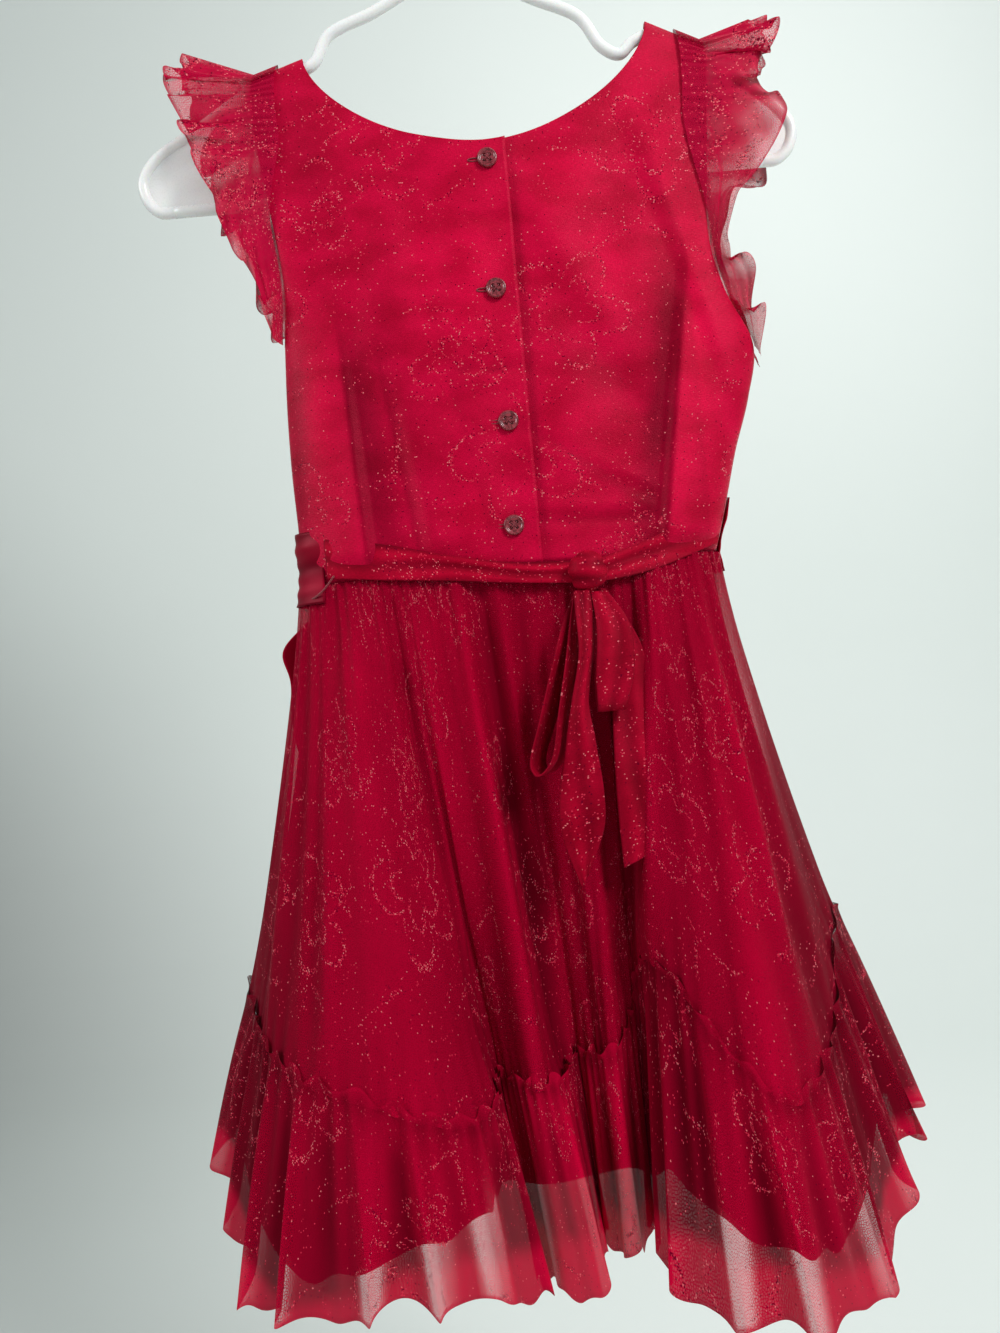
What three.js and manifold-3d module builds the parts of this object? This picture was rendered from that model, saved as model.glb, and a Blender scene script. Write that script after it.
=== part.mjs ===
// A girl's tulle party dress hanging on a plastic hanger. Millimetres, +Z up.
// The origin is the inside top of the hanger's hook. The buttoned back of the dress faces -Y.
import * as THREE from "three";
import { mergeVertices } from "three/addons/utils/BufferGeometryUtils.js";
import Module from "manifold-3d";

// ---------------------------------------------------------------- driving dimensions
const MID_Y = 0; // plane of the hanger, half way between the back and the front of the dress
const AXIS_X = 11; // centre line of the dress, which hangs a little off the hook's line
const SATIN_THICKNESS = 1.2;
const TULLE_THICKNESS = 1;
const RIBBON_THICKNESS = 1.2;
const SEAM_GAP = 0.3;
const WAIST_Z = -475;
const SIDE_ROUNDNESS = 2.6; // power of the rounded cross-section of the bodice

// The wide scooped neckline: a superellipse arc from the left to the right neck point.
const NECK = { halfWidth: 110.8, leftZ: -135, rightZ: -130, backLowZ: -204, frontLowZ: -210, power: 1.7 };
const PLACKET = { overEdge: 25, underEdge: -4, lift: 2.3, blend: 38 };

// Bodice sections from the waist up to the shoulder seam. leftX/leftZ and rightX/rightZ are the side seam and
// then the armhole. depth is half the thickness of the hanging bodice, open is how far the armhole stands open
// there, and neck is the share of the neckline passed, counted from the top of the placket.
const BODICE_SECTIONS = [
  { leftX: -128, leftZ: -475, rightX: 137.5, rightZ: -475, depth: 30, open: 0, neck: 0 },
  { leftX: -128.5, leftZ: -437, rightX: 147, rightZ: -443, depth: 28, open: 0, neck: 0 },
  { leftX: -129.5, leftZ: -398, rightX: 156, rightZ: -411, depth: 26, open: 0, neck: 0 },
  { leftX: -129, leftZ: -358, rightX: 167, rightZ: -378, depth: 24, open: 0, neck: 0 },
  { leftX: -127, leftZ: -318, rightX: 173, rightZ: -345, depth: 22, open: 0, neck: 0 },
  { leftX: -123.5, leftZ: -284, rightX: 157, rightZ: -312, depth: 19.5, open: 0.4, neck: 0 },
  { leftX: -126, leftZ: -250, rightX: 149, rightZ: -276, depth: 17, open: 0.7, neck: 0 },
  { leftX: -130, leftZ: -215, rightX: 151, rightZ: -236, depth: 14.5, open: 0.85, neck: 0.25 },
  { leftX: -133.5, leftZ: -184, rightX: 155, rightZ: -194, depth: 12, open: 0.95, neck: 0.48 },
  { leftX: -134.5, leftZ: -163, rightX: 157, rightZ: -167, depth: 9, open: 1, neck: 0.72 },
  { leftX: -133.6, leftZ: -151.4, rightX: 157, rightZ: -153.4, depth: 5.8, open: 1, neck: 0.93 },
  { leftX: -132.6, leftZ: -146.9, rightX: 156.4, rightZ: -148.9, depth: 4, open: 1, neck: 0.978 },
  { leftX: -132, leftZ: -145, rightX: 156, rightZ: -147, depth: 0.6, open: 1, neck: 1 },
];
const UNDERARM_SECTION = 4;
const NECK_SECTION = 6;
const STRAP_SECTION = 9;

// Half thickness of the bodice below the straps, by height: the two back panels share it where they lap.
const BODICE_DEPTHS = [
  { z: -475, depth: 30 },
  { z: -318, depth: 22 },
  { z: -250, depth: 17.5 },
  { z: -204, depth: 14 },
  { z: -163, depth: 9 },
];

// Flutter sleeve: reach beyond the armhole and rise above it, from the underarm to the shoulder.
const SLEEVE_SECTIONS = [
  { leftReach: 3, leftRise: -4, rightReach: 3, rightRise: -3 },
  { leftReach: 14, leftRise: -8, rightReach: 15, rightRise: -4 },
  { leftReach: 30, leftRise: -6, rightReach: 12, rightRise: 2 },
  { leftReach: 36, leftRise: -4, rightReach: 44, rightRise: 0 },
  { leftReach: 33, leftRise: -2, rightReach: 32, rightRise: 4 },
  { leftReach: 47, leftRise: -2, rightReach: 40, rightRise: 0 },
  { leftReach: 48, leftRise: 2, rightReach: 46, rightRise: 2 },
  { leftReach: 43, leftRise: 14, rightReach: 35, rightRise: 9 },
];
const SLEEVE = {
  band: 16, // strip of the frill that lies on the bodice
  bandShare: 0.4, // its share of the frill's rows
  setOff: 0.9,
  stand: 1.9,
  spread: 3,
  shoulderLift: 3,
  waves: 8,
  waveDepth: 4,
  columns: 40,
  rows: 5,
};

// Folds of the tulle skirt, counter-clockwise from the left side seam over the back to the right side seam and
// along the front. waistX is where a fold starts at the waist, hemX/hemY where it ends, and hemZ and seamZ are
// the heights of the hem and of the ruffle's seam on it. ease is how much of the ruffle's wave it has room for.
const BACK_FOLDS = [
  { waistX: -128, hemX: -215, hemY: 24, hemZ: -832, seamZ: -733, ease: 1 },
  { waistX: -127, hemX: -197, hemY: -30, hemZ: -845, seamZ: -742, ease: 1 },
  { waistX: -125, hemX: -184, hemY: -76, hemZ: -857, seamZ: -748, ease: 1 },
  { waistX: -121, hemX: -162, hemY: -114, hemZ: -870, seamZ: -755, ease: 1 },
  { waistX: -114, hemX: -132, hemY: -139, hemZ: -864, seamZ: -761, ease: 1 },
  { waistX: -105, hemX: -98, hemY: -147, hemZ: -860, seamZ: -767, ease: 1 },
  { waistX: -95, hemX: -62, hemY: -146, hemZ: -858, seamZ: -778, ease: 0.9 },
  { waistX: -85, hemX: -32, hemY: -136, hemZ: -864, seamZ: -784, ease: 0.6 },
  { waistX: -76, hemX: -15, hemY: -115, hemZ: -877, seamZ: -782, ease: 0.3 },
  { waistX: -68, hemX: -19, hemY: -92, hemZ: -883, seamZ: -779, ease: 0.2 },
  { waistX: -59, hemX: -15, hemY: -72, hemZ: -884, seamZ: -779, ease: 0.2 },
  { waistX: -49, hemX: -5, hemY: -84, hemZ: -885, seamZ: -778, ease: 0.2 },
  { waistX: -38, hemX: 7, hemY: -100, hemZ: -886, seamZ: -779, ease: 0.4 },
  { waistX: -26, hemX: 20, hemY: -88, hemZ: -884, seamZ: -780, ease: 0.3 },
  { waistX: -14, hemX: 20, hemY: -62, hemZ: -881, seamZ: -778, ease: 0.2 },
  { waistX: 2, hemX: 26, hemY: -44, hemZ: -880, seamZ: -776, ease: 0.2 },
  { waistX: 20, hemX: 34, hemY: -58, hemZ: -881, seamZ: -774, ease: 0.2 },
  { waistX: 34, hemX: 40, hemY: -71, hemZ: -882, seamZ: -772, ease: 0.3 },
  { waistX: 48, hemX: 47, hemY: -57, hemZ: -880, seamZ: -760, ease: 0.2 },
  { waistX: 60, hemX: 55, hemY: -42, hemZ: -878, seamZ: -742, ease: 0.2 },
  { waistX: 70, hemX: 63, hemY: -62, hemZ: -879, seamZ: -724, ease: 0.2 },
  { waistX: 79, hemX: 60, hemY: -92, hemZ: -882, seamZ: -716, ease: 0.4 },
  { waistX: 88, hemX: 78, hemY: -126, hemZ: -886, seamZ: -732, ease: 0.8 },
  { waistX: 98, hemX: 108, hemY: -144, hemZ: -889, seamZ: -766, ease: 1 },
  { waistX: 109, hemX: 138, hemY: -144, hemZ: -890, seamZ: -788, ease: 1 },
  { waistX: 119, hemX: 168, hemY: -116, hemZ: -888, seamZ: -780, ease: 1 },
  { waistX: 128, hemX: 193, hemY: -72, hemZ: -877, seamZ: -764, ease: 1 },
  { waistX: 133, hemX: 218, hemY: -20, hemZ: -854, seamZ: -726, ease: 1 },
];
const FRONT_FOLDS = [
  { waistX: 137.5, hemX: 238, hemY: 26, hemZ: -852, seamZ: -714, ease: 1 },
  { waistX: 125, hemX: 214, hemY: 49, hemZ: -854, seamZ: -734, ease: 0.8 },
  { waistX: 96, hemX: 160, hemY: 46, hemZ: -856, seamZ: -748, ease: 0.8 },
  { waistX: 64, hemX: 104, hemY: 53, hemZ: -856, seamZ: -748, ease: 0.8 },
  { waistX: 32, hemX: 52, hemY: 44, hemZ: -856, seamZ: -748, ease: 0.8 },
  { waistX: 0, hemX: -2, hemY: 53, hemZ: -856, seamZ: -748, ease: 0.8 },
  { waistX: -32, hemX: -54, hemY: 45, hemZ: -856, seamZ: -748, ease: 0.8 },
  { waistX: -62, hemX: -104, hemY: 53, hemZ: -856, seamZ: -748, ease: 0.8 },
  { waistX: -90, hemX: -152, hemY: 46, hemZ: -856, seamZ: -748, ease: 0.8 },
  { waistX: -117, hemX: -197, hemY: 49, hemZ: -845, seamZ: -740, ease: 0.8 },
];

// The satin underskirt has less cloth than the tulle: it follows the big lobes and passes behind small folds.
const LINING_BACK_FOLDS = [
  { waistX: -126, hemX: -206, hemY: 23, hemZ: -812 },
  { waistX: -125, hemX: -194, hemY: -22, hemZ: -825 },
  { waistX: -122, hemX: -176, hemY: -68, hemZ: -845 },
  { waistX: -117, hemX: -154, hemY: -98, hemZ: -861 },
  { waistX: -109, hemX: -127, hemY: -119, hemZ: -856 },
  { waistX: -100, hemX: -95, hemY: -127, hemZ: -845 },
  { waistX: -89, hemX: -64, hemY: -122, hemZ: -838 },
  { waistX: -77, hemX: -42, hemY: -104, hemZ: -838 },
  { waistX: -66, hemX: -36, hemY: -78, hemZ: -841 },
  { waistX: -50, hemX: -30, hemY: -54, hemZ: -844 },
  { waistX: -24, hemX: -12, hemY: -38, hemZ: -852 },
  { waistX: 10, hemX: 22, hemY: -24, hemZ: -858 },
  { waistX: 46, hemX: 50, hemY: -30, hemZ: -855 },
  { waistX: 70, hemX: 68, hemY: -42, hemZ: -852 },
  { waistX: 84, hemX: 80, hemY: -70, hemZ: -852 },
  { waistX: 92, hemX: 92, hemY: -98, hemZ: -856 },
  { waistX: 101, hemX: 114, hemY: -120, hemZ: -860 },
  { waistX: 110, hemX: 138, hemY: -123, hemZ: -864 },
  { waistX: 118, hemX: 159, hemY: -101, hemZ: -866 },
  { waistX: 126, hemX: 182, hemY: -64, hemZ: -860 },
  { waistX: 131, hemX: 205, hemY: -18, hemZ: -838 },
];
const LINING_FRONT_FOLDS = [
  { waistX: 135.5, hemX: 225, hemY: 23, hemZ: -830 },
  { waistX: 122, hemX: 204, hemY: 38, hemZ: -838 },
  { waistX: 94, hemX: 152, hemY: 38, hemZ: -838 },
  { waistX: 48, hemX: 76, hemY: 37, hemZ: -838 },
  { waistX: 0, hemX: 0, hemY: 38, hemZ: -838 },
  { waistX: -46, hemX: -76, hemY: 37, hemZ: -838 },
  { waistX: -88, hemX: -146, hemY: 38, hemZ: -838 },
  { waistX: -114, hemX: -188, hemY: 38, hemZ: -825 },
];
const TULLE_FLARE = 1.2; // power with which the folds open from the waist to the hem
const LINING_FLARE = 1.35;
const SEAM_STEP = 0.0004; // share of the skirt's way round left open on each side of a side seam
const TULLE_TIER = { offset: 0.9, ripples: 22, rippleDepth: 1.6, columns: 110, rows: 4 };
const LINING = { atWaist: -0.7, atHem: 0, columns: 96, rows: 4 };
const RUFFLE = {
  header: 7, // stands up above its seam
  atHeader: 4.4,
  atSeam: 3.6,
  atHem: 5,
  waves: 34,
  seamWave: 0.5,
  headerWave: 1.2,
  hemWave: 6,
  columns: 170,
};

// Sash of the front, and its tail on the left side.
const SASH = { topZ: -441, bottomZ: -487, backEnd: -0.875, clearance: 2.35, folds: 2, foldDepth: 1 };
const SASH_TAIL = {
  startZ: -487.4,
  endZ: -592,
  nearShare: 0.022, // shares of half the skirt's width at which its two edges lie
  farShare: 0.05,
  lift: 3.7,
  bulge: 7,
  slant: 14,
};
const WAIST_SPREAD = 0.27; // how much farther out bands lie for each millimetre below the waist seam

// Glitter belt on the back: centre line and width, from the left end past the knot to the right end.
const BELT_PATH = [
  { x: -108, z: -460, width: 25 },
  { x: -70, z: -466, width: 22 },
  { x: -33, z: -473, width: 16 },
  { x: 4, z: -479, width: 13 },
  { x: 42, z: -482, width: 14 },
  { x: 59.5, z: -482, width: 15 },
  { x: 90, z: -475, width: 20 },
  { x: 116, z: -465, width: 24 },
  { x: 134, z: -458, width: 25 },
];
const BELT = { clearance: 2.2, leftEndRow: 4, rightStartRow: 5, sideLimit: 0.98 };
const KNOT = { x: 51, y: -43.4, z: -483, halfWidth: 12, halfDepth: 9.5, halfHeight: 13 };

// Ribbons of the bow: centre line, width, and the turn of the width about the vertical, in degrees.
const BOW_LOOP_LEFT = [
  { x: 46, y: -41.4, z: -496.2, width: 10, turn: 10 },
  { x: 34, y: -48, z: -530, width: 22, turn: 50 },
  { x: 20, y: -55, z: -568, width: 26, turn: 64 },
  { x: 11, y: -58, z: -596, width: 26, turn: 68 },
  { x: 14, y: -59, z: -601, width: 26, turn: 68 },
  { x: 22, y: -60, z: -594, width: 26, turn: 68 },
  { x: 30, y: -58, z: -566, width: 24, turn: 62 },
  { x: 39, y: -53, z: -530, width: 17, turn: 45 },
  { x: 46, y: -45.4, z: -496.2, width: 10, turn: 10 },
];
const BOW_LOOP_RIGHT = [
  { x: 56.4, y: -41.5, z: -496.2, width: 10, turn: 0 },
  { x: 62, y: -47, z: -520, width: 20, turn: 6 },
  { x: 60, y: -52, z: -548, width: 23, turn: 10 },
  { x: 57, y: -55, z: -563, width: 18, turn: 10 },
  { x: 57, y: -59, z: -567, width: 18, turn: 10 },
  { x: 57, y: -63, z: -563, width: 18, turn: 10 },
  { x: 60, y: -63, z: -546, width: 23, turn: 8 },
  { x: 62, y: -57, z: -518, width: 20, turn: 4 },
  { x: 56.4, y: -46, z: -496.2, width: 10, turn: 0 },
];
const BOW_TAIL_LEFT = [
  { x: 46, y: -49, z: -494.6, width: 10, turn: 10 },
  { x: 45, y: -62, z: -530, width: 15, turn: 50 },
  { x: 38, y: -67, z: -562, width: 14, turn: 40 },
  { x: 36, y: -69, z: -586, width: 18, turn: 0 },
  { x: 34, y: -70, z: -612, width: 26, turn: -14 },
  { x: 33, y: -70, z: -636, width: 25, turn: -10 },
  { x: 32, y: -70, z: -664, width: 5, turn: -6 },
];
const BOW_TAIL_RIGHT = [
  { x: 56.4, y: -38, z: -494, width: 10, turn: 0 },
  { x: 70, y: -41, z: -530, width: 20, turn: 6 },
  { x: 70, y: -47, z: -566, width: 24, turn: 8 },
  { x: 68, y: -55, z: -604, width: 25, turn: 8 },
  { x: 67, y: -60, z: -634, width: 24, turn: 5 },
  { x: 66, y: -62, z: -656, width: 21, turn: 4 },
];
const TAIL_CUT = 9; // how much longer one edge of a tail's end is

const BUTTON = { radius: 6.35, thickness: 2.8, bevel: 0.6, rim: 1.5, dish: 0.7, sides: 16 };
const BUTTON_HOLE = { radius: 0.95, spacing: 1.75, sides: 6 };
const BUTTON_PLACES = [
  { x: 12.7, z: -217 },
  { x: 11.1, z: -301 },
  { x: 11.5, z: -385 },
  { x: 9.2, z: -450 },
];

// Plastic hanger: a round tube through these points of its plane.
const TUBE_RADIUS = 3.75;
const TUBE_SIDES = 8;
const HOOK = { innerRadius: 21, neckZ: -77.4, neckLength: 14, neckAngle: -38, tipAngle: 218, bends: 12 };
const LEFT_ARM = [
  { x: -2.2, z: -81.2 },
  { x: -50, z: -107.5 },
  { x: -82, z: -121 },
  { x: -93, z: -138 },
  { x: -104, z: -142.8 },
  { x: -132, z: -151.6 },
  { x: -170, z: -174 },
  { x: -200, z: -192 },
  { x: -209, z: -206 },
  { x: -206, z: -219 },
  { x: -199, z: -225.4 },
  { x: -190, z: -226 },
];
const RIGHT_ARM = [
  { x: 2.2, z: -81.2 },
  { x: 50, z: -107.5 },
  { x: 80, z: -123 },
  { x: 93, z: -143 },
  { x: 104, z: -149 },
  { x: 113, z: -142 },
  { x: 124, z: -138.5 },
  { x: 140, z: -146 },
  { x: 156, z: -154 },
  { x: 200, z: -190 },
  { x: 210, z: -205 },
  { x: 207, z: -218.5 },
  { x: 199, z: -225.4 },
  { x: 190, z: -226 },
];
const END_WEB = {
  thickness: 2,
  bellyX: 188,
  bellyZ: -197,
  outerX: 188,
  barX: 158,
  barGap: 0.5,
  armX: 152,
  armZ: -165,
};

// ---------------------------------------------------------------- materials
const MATERIALS = {
  satin: new THREE.MeshStandardMaterial({ color: 0xb2082f, roughness: 0.38 }),
  glitterCloth: new THREE.MeshStandardMaterial({ color: 0xa8102f, roughness: 0.5 }),
  tulle: new THREE.MeshStandardMaterial({ color: 0xb81e45, roughness: 0.8, transparent: true, opacity: 0.6 }),
  button: new THREE.MeshStandardMaterial({ color: 0x9c3a46, roughness: 0.35 }),
  plastic: new THREE.MeshStandardMaterial({ color: 0xf2f2f0, roughness: 0.3 }),
};

// ---------------------------------------------------------------- helpers
const { lerp, clamp, degToRad } = THREE.MathUtils;
const SLOPE_STEP = 1e-3; // step in u, v or a share with which slopes are measured
const wasm = await Module();
wasm.setup();

// Value of a named column at a fractional row of a table.
function column(table, name, row) {
  const below = clamp(Math.floor(row), 0, table.length - 2);
  return lerp(table[below][name], table[below + 1][name], row - below);
}

// Closed wall of cloth. Each patch is a sheet of points point(u, v), u and v from 0 to 1, whose u then v turn
// right-handed about the outward direction. The wall lies behind the sheet, and patches that share points grow
// together.
function clothGeometry(patches, thickness) {
  const points = [];
  const normals = [];
  const known = new Map();
  const faces = [];
  for (const { point, columns, rows } of patches) {
    const ids = [];
    for (let row = 0; row <= rows; row += 1) {
      for (let col = 0; col <= columns; col += 1) {
        const u = col / columns;
        const v = row / rows;
        const place = point(u, v);
        const alongU = point(u + SLOPE_STEP, v).sub(point(u - SLOPE_STEP, v));
        const alongV = point(u, Math.min(v + SLOPE_STEP, 1)).sub(point(u, Math.max(v - SLOPE_STEP, 0)));
        const key = place.toArray().map((value) => value.toFixed(3)).join();
        if (!known.has(key)) {
          known.set(key, points.length);
          points.push(place);
          normals.push(new THREE.Vector3());
        }
        const id = known.get(key);
        normals[id].add(alongU.cross(alongV).normalize());
        ids.push(id);
      }
    }
    for (let row = 0; row < rows; row += 1) {
      for (let col = 0; col < columns; col += 1) {
        const a = ids[row * (columns + 1) + col];
        const b = ids[row * (columns + 1) + col + 1];
        const c = ids[(row + 1) * (columns + 1) + col + 1];
        const d = ids[(row + 1) * (columns + 1) + col];
        faces.push([a, b, d], [b, c, d]);
      }
    }
  }
  const back = points.length;
  const inwards = normals.map((normal) => normal.normalize().multiplyScalar(-thickness));
  const behind = points.map((place, id) => place.clone().add(inwards[id]));
  const edges = new Set(faces.flatMap(([a, b, c]) => [`${a} ${b}`, `${b} ${c}`, `${c} ${a}`]));
  const index = faces.flatMap(([a, b, c]) => [a, b, c, back + a, back + c, back + b]);
  for (const edge of edges) {
    const [a, b] = edge.split(" ").map(Number);
    if (!edges.has(`${b} ${a}`)) index.push(b, a, back + a, b, back + a, back + b);
  }
  const geometry = new THREE.BufferGeometry();
  geometry.setFromPoints([...points, ...behind]);
  geometry.setIndex(index);
  return geometry;
}

// The three.js geometry as a manifold solid, and back.
function toSolid(geometry) {
  const plain = geometry.clone();
  plain.deleteAttribute("normal");
  plain.deleteAttribute("uv");
  const merged = mergeVertices(plain, 1e-4);
  return new wasm.Manifold(
    new wasm.Mesh({
      numProp: 3,
      vertProperties: merged.attributes.position.array,
      triVerts: new Uint32Array(merged.index.array),
    }),
  );
}

function toGeometry(solid) {
  const { vertProperties, triVerts } = solid.getMesh();
  const geometry = new THREE.BufferGeometry();
  geometry.setAttribute("position", new THREE.BufferAttribute(vertProperties, 3));
  geometry.setIndex(new THREE.BufferAttribute(triVerts, 1));
  return geometry;
}

const dress = new THREE.Group();

function addPiece(name, geometry, material) {
  const mesh = new THREE.Mesh(geometry, material);
  mesh.name = name;
  dress.add(mesh);
  return mesh;
}

// ---------------------------------------------------------------- bodice
// Half depth of the rounded cross-section at the share f of the half width.
function roundProfile(f) {
  return (1 - Math.min(Math.abs(f), 1) ** SIDE_ROUNDNESS) ** (1 / SIDE_ROUNDNESS);
}

// Value of a column at a height, in a table that rises in z.
function columnAtHeight(table, name, z) {
  const above = clamp(table.findIndex((entry) => entry.z >= z), 1, table.length - 1);
  const share = (z - table[above - 1].z) / (table[above].z - table[above - 1].z);
  return lerp(table[above - 1][name], table[above][name], clamp(share, 0, 1));
}

// Depth coordinate of the bodice's outer face: face is -1 on the back and +1 on the front.
function bodiceY(x, z, row, face) {
  const side = x < AXIS_X ? "leftX" : "rightX";
  const f = (x - AXIS_X) / (column(BODICE_SECTIONS, side, row) - AXIS_X);
  const open = column(BODICE_SECTIONS, "open", row);
  const profile = lerp(roundProfile(f), 1 - 0.12 * f * f, open);
  const strap = THREE.MathUtils.smoothstep(row, STRAP_SECTION - 1, STRAP_SECTION);
  const depth = lerp(columnAtHeight(BODICE_DEPTHS, "depth", z), column(BODICE_SECTIONS, "depth", row), strap);
  return MID_Y + face * (SEAM_GAP / 2 + depth * profile);
}

// Side seam and armhole at a row of the table, on the left or the right.
function outerEdge(side, row) {
  return {
    x: column(BODICE_SECTIONS, side < 0 ? "leftX" : "rightX", row),
    z: column(BODICE_SECTIONS, side < 0 ? "leftZ" : "rightZ", row),
  };
}

// Centre edge and neckline at a row of the table, for a panel whose centre edge stands at startX.
function innerEdge(side, row, startX, lowZ) {
  const neckZ = side < 0 ? NECK.leftZ : NECK.rightZ;
  const power = 2 / NECK.power;
  const share = (startX - AXIS_X) / NECK.halfWidth;
  const start = Math.sign(share) * Math.asin(Math.abs(share) ** (1 / power));
  const angle = lerp(start, (side * Math.PI) / 2, column(BODICE_SECTIONS, "neck", row));
  const x = AXIS_X + NECK.halfWidth * Math.sign(angle) * Math.abs(Math.sin(angle)) ** power;
  const z = neckZ - (neckZ - lowZ) * Math.max(Math.cos(angle), 0) ** power;
  return { x, z: row < NECK_SECTION ? lerp(WAIST_Z, z, row / NECK_SECTION) : z };
}

// A point of a bodice panel: share is 0 at the centre edge and 1 at the side, row climbs the table of sections.
function panelPoint(side, face, share, row, startX, lowZ) {
  const inner = innerEdge(side, row, startX, lowZ);
  const outer = outerEdge(side, row);
  const x = lerp(inner.x, outer.x, share);
  const z = lerp(inner.z, outer.z, share);
  return new THREE.Vector3(x, bodiceY(x, z, row, face), z);
}

// Share of the way across at u, with the columns closer together towards the side.
const across = (u) => Math.sin((clamp(u, 0, 1) * Math.PI) / 2);

const LAST_SECTION = BODICE_SECTIONS.length - 1;

// The left back panel laps over the right one at the buttons.
function backLeft(u, v) {
  const place = panelPoint(-1, -1, across(u), v * LAST_SECTION, PLACKET.overEdge, NECK.backLowZ);
  const lap = THREE.MathUtils.smoothstep(place.x, PLACKET.underEdge - PLACKET.blend, PLACKET.underEdge - 8);
  place.y -= PLACKET.lift * lap;
  return place;
}

function backRight(u, v) {
  return panelPoint(1, -1, across(u), v * LAST_SECTION, PLACKET.underEdge, NECK.backLowZ);
}

function frontHalf(side) {
  return (u, v) => panelPoint(side, 1, across(u), v * LAST_SECTION, AXIS_X, NECK.frontLowZ);
}

const mirrored = (point) => (u, v) => point(1 - u, v);

function addBodice() {
  const size = { columns: 7, rows: LAST_SECTION };
  const left = { point: mirrored(backLeft), ...size };
  const right = { point: backRight, ...size };
  addPiece("bodice_back_left", clothGeometry([left], SATIN_THICKNESS), MATERIALS.glitterCloth);
  addPiece("bodice_back_right", clothGeometry([right], SATIN_THICKNESS), MATERIALS.glitterCloth);
  const halves = [
    { point: frontHalf(-1), ...size },
    { point: mirrored(frontHalf(1)), ...size },
  ];
  addPiece("bodice_front", clothGeometry(halves, SATIN_THICKNESS), MATERIALS.satin);
}

// ---------------------------------------------------------------- sleeves
// A frill sewn round the armhole: s runs from the underarm of the back over the shoulder to the underarm of the
// front, and v from the band that lies on the bodice out to the free edge.
function sleevePoint(side, s, v) {
  const face = s < 0.5 ? -1 : 1;
  const climb = 1 - Math.abs(2 * s - 1);
  const row = lerp(UNDERARM_SECTION, LAST_SECTION, climb);
  const name = side < 0 ? "left" : "right";
  const place = climb * (SLEEVE_SECTIONS.length - 1);
  const onCloth = THREE.MathUtils.smoothstep(row, NECK_SECTION, STRAP_SECTION - 1);
  const outward = lerp(v, Math.max((v - SLEEVE.bandShare) / (1 - SLEEVE.bandShare), 0), onCloth);
  const inward = SLEEVE.band * onCloth * Math.max(1 - v / SLEEVE.bandShare, 0);
  const startX = face < 0 && side < 0 ? PLACKET.overEdge : face < 0 ? PLACKET.underEdge : AXIS_X;
  const inner = innerEdge(side, row, startX, face < 0 ? NECK.backLowZ : NECK.frontLowZ);
  const edge = outerEdge(side, row);
  const share = 1 - inward / Math.abs(edge.x - inner.x);
  const base = panelPoint(side, face, share, row, startX, face < 0 ? NECK.backLowZ : NECK.frontLowZ);
  const wave = 0.5 - 0.5 * Math.cos(4 * Math.PI * SLEEVE.waves * (s - 0.5));
  const top = THREE.MathUtils.smoothstep(climb, 0.8, 1);
  const stand = SLEEVE.stand + SLEEVE.spread * outward + SLEEVE.waveDepth * wave * outward;
  base.x += side * (outward * column(SLEEVE_SECTIONS, `${name}Reach`, place) + SLEEVE.setOff * (1 - onCloth));
  base.y += face * stand * (1 - top);
  base.z += outward * column(SLEEVE_SECTIONS, `${name}Rise`, place);
  base.z += top * (SLEEVE.shoulderLift + 0.5 * SLEEVE.waveDepth * wave * outward);
  return base;
}

function addSleeves() {
  for (const [name, side] of [["sleeve_left", -1], ["sleeve_right", 1]]) {
    const frill = (u, v) => sleevePoint(side, clamp(u, 0, 1), v);
    const patch = { point: side < 0 ? frill : mirrored(frill), columns: SLEEVE.columns, rows: SLEEVE.rows };
    addPiece(name, clothGeometry([patch], TULLE_THICKNESS), MATERIALS.tulle);
  }
}

// ---------------------------------------------------------------- skirt
// A skirt layer's folds as two closed curves, one round the waist and one round the hem.
function skirtFolds(backRows, frontRows, flare) {
  const rows = [...backRows, ...frontRows];
  const waist = rows.map(({ waistX }, id) => {
    const half = waistX < AXIS_X ? AXIS_X - backRows[0].waistX : frontRows[0].waistX - AXIS_X;
    const face = id < backRows.length ? -1 : 1;
    const depth = BODICE_SECTIONS[0].depth * roundProfile((waistX - AXIS_X) / half);
    return new THREE.Vector3(waistX, MID_Y + face * depth, WAIST_Z - SEAM_GAP);
  });
  const hem = rows.map(({ hemX, hemY, hemZ }) => new THREE.Vector3(hemX, hemY, hemZ));
  const heights = rows.map(({ seamZ = 0, ease = 1 }, id) => new THREE.Vector3(id, ease, seamZ));
  return {
    flare,
    rightSeam: backRows.length / rows.length,
    waist: new THREE.CatmullRomCurve3(waist, true),
    hem: new THREE.CatmullRomCurve3(hem, true),
    heights: new THREE.CatmullRomCurve3(heights, true, "catmullrom", 0.4),
  };
}

const cycle = (share) => ((share % 1) + 1) % 1;

// The point at the share s of the way round and the share t of the way down to the hem.
function foldPoint(folds, s, t) {
  const top = folds.waist.getPoint(cycle(s));
  const bottom = folds.hem.getPoint(cycle(s));
  const open = Math.max(t, 0) ** folds.flare;
  return top.lerp(bottom, open).setZ(lerp(WAIST_Z - SEAM_GAP, bottom.z, t));
}

// The same point moved out of the skirt, level, by a distance.
function foldPointOut(folds, s, t, distance) {
  const step = SLOPE_STEP / 5;
  const along = foldPoint(folds, s + step, t).sub(foldPoint(folds, s - step, t));
  const out = new THREE.Vector3(along.y, -along.x, 0).normalize();
  return foldPoint(folds, s, t).addScaledVector(out, distance);
}

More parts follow.
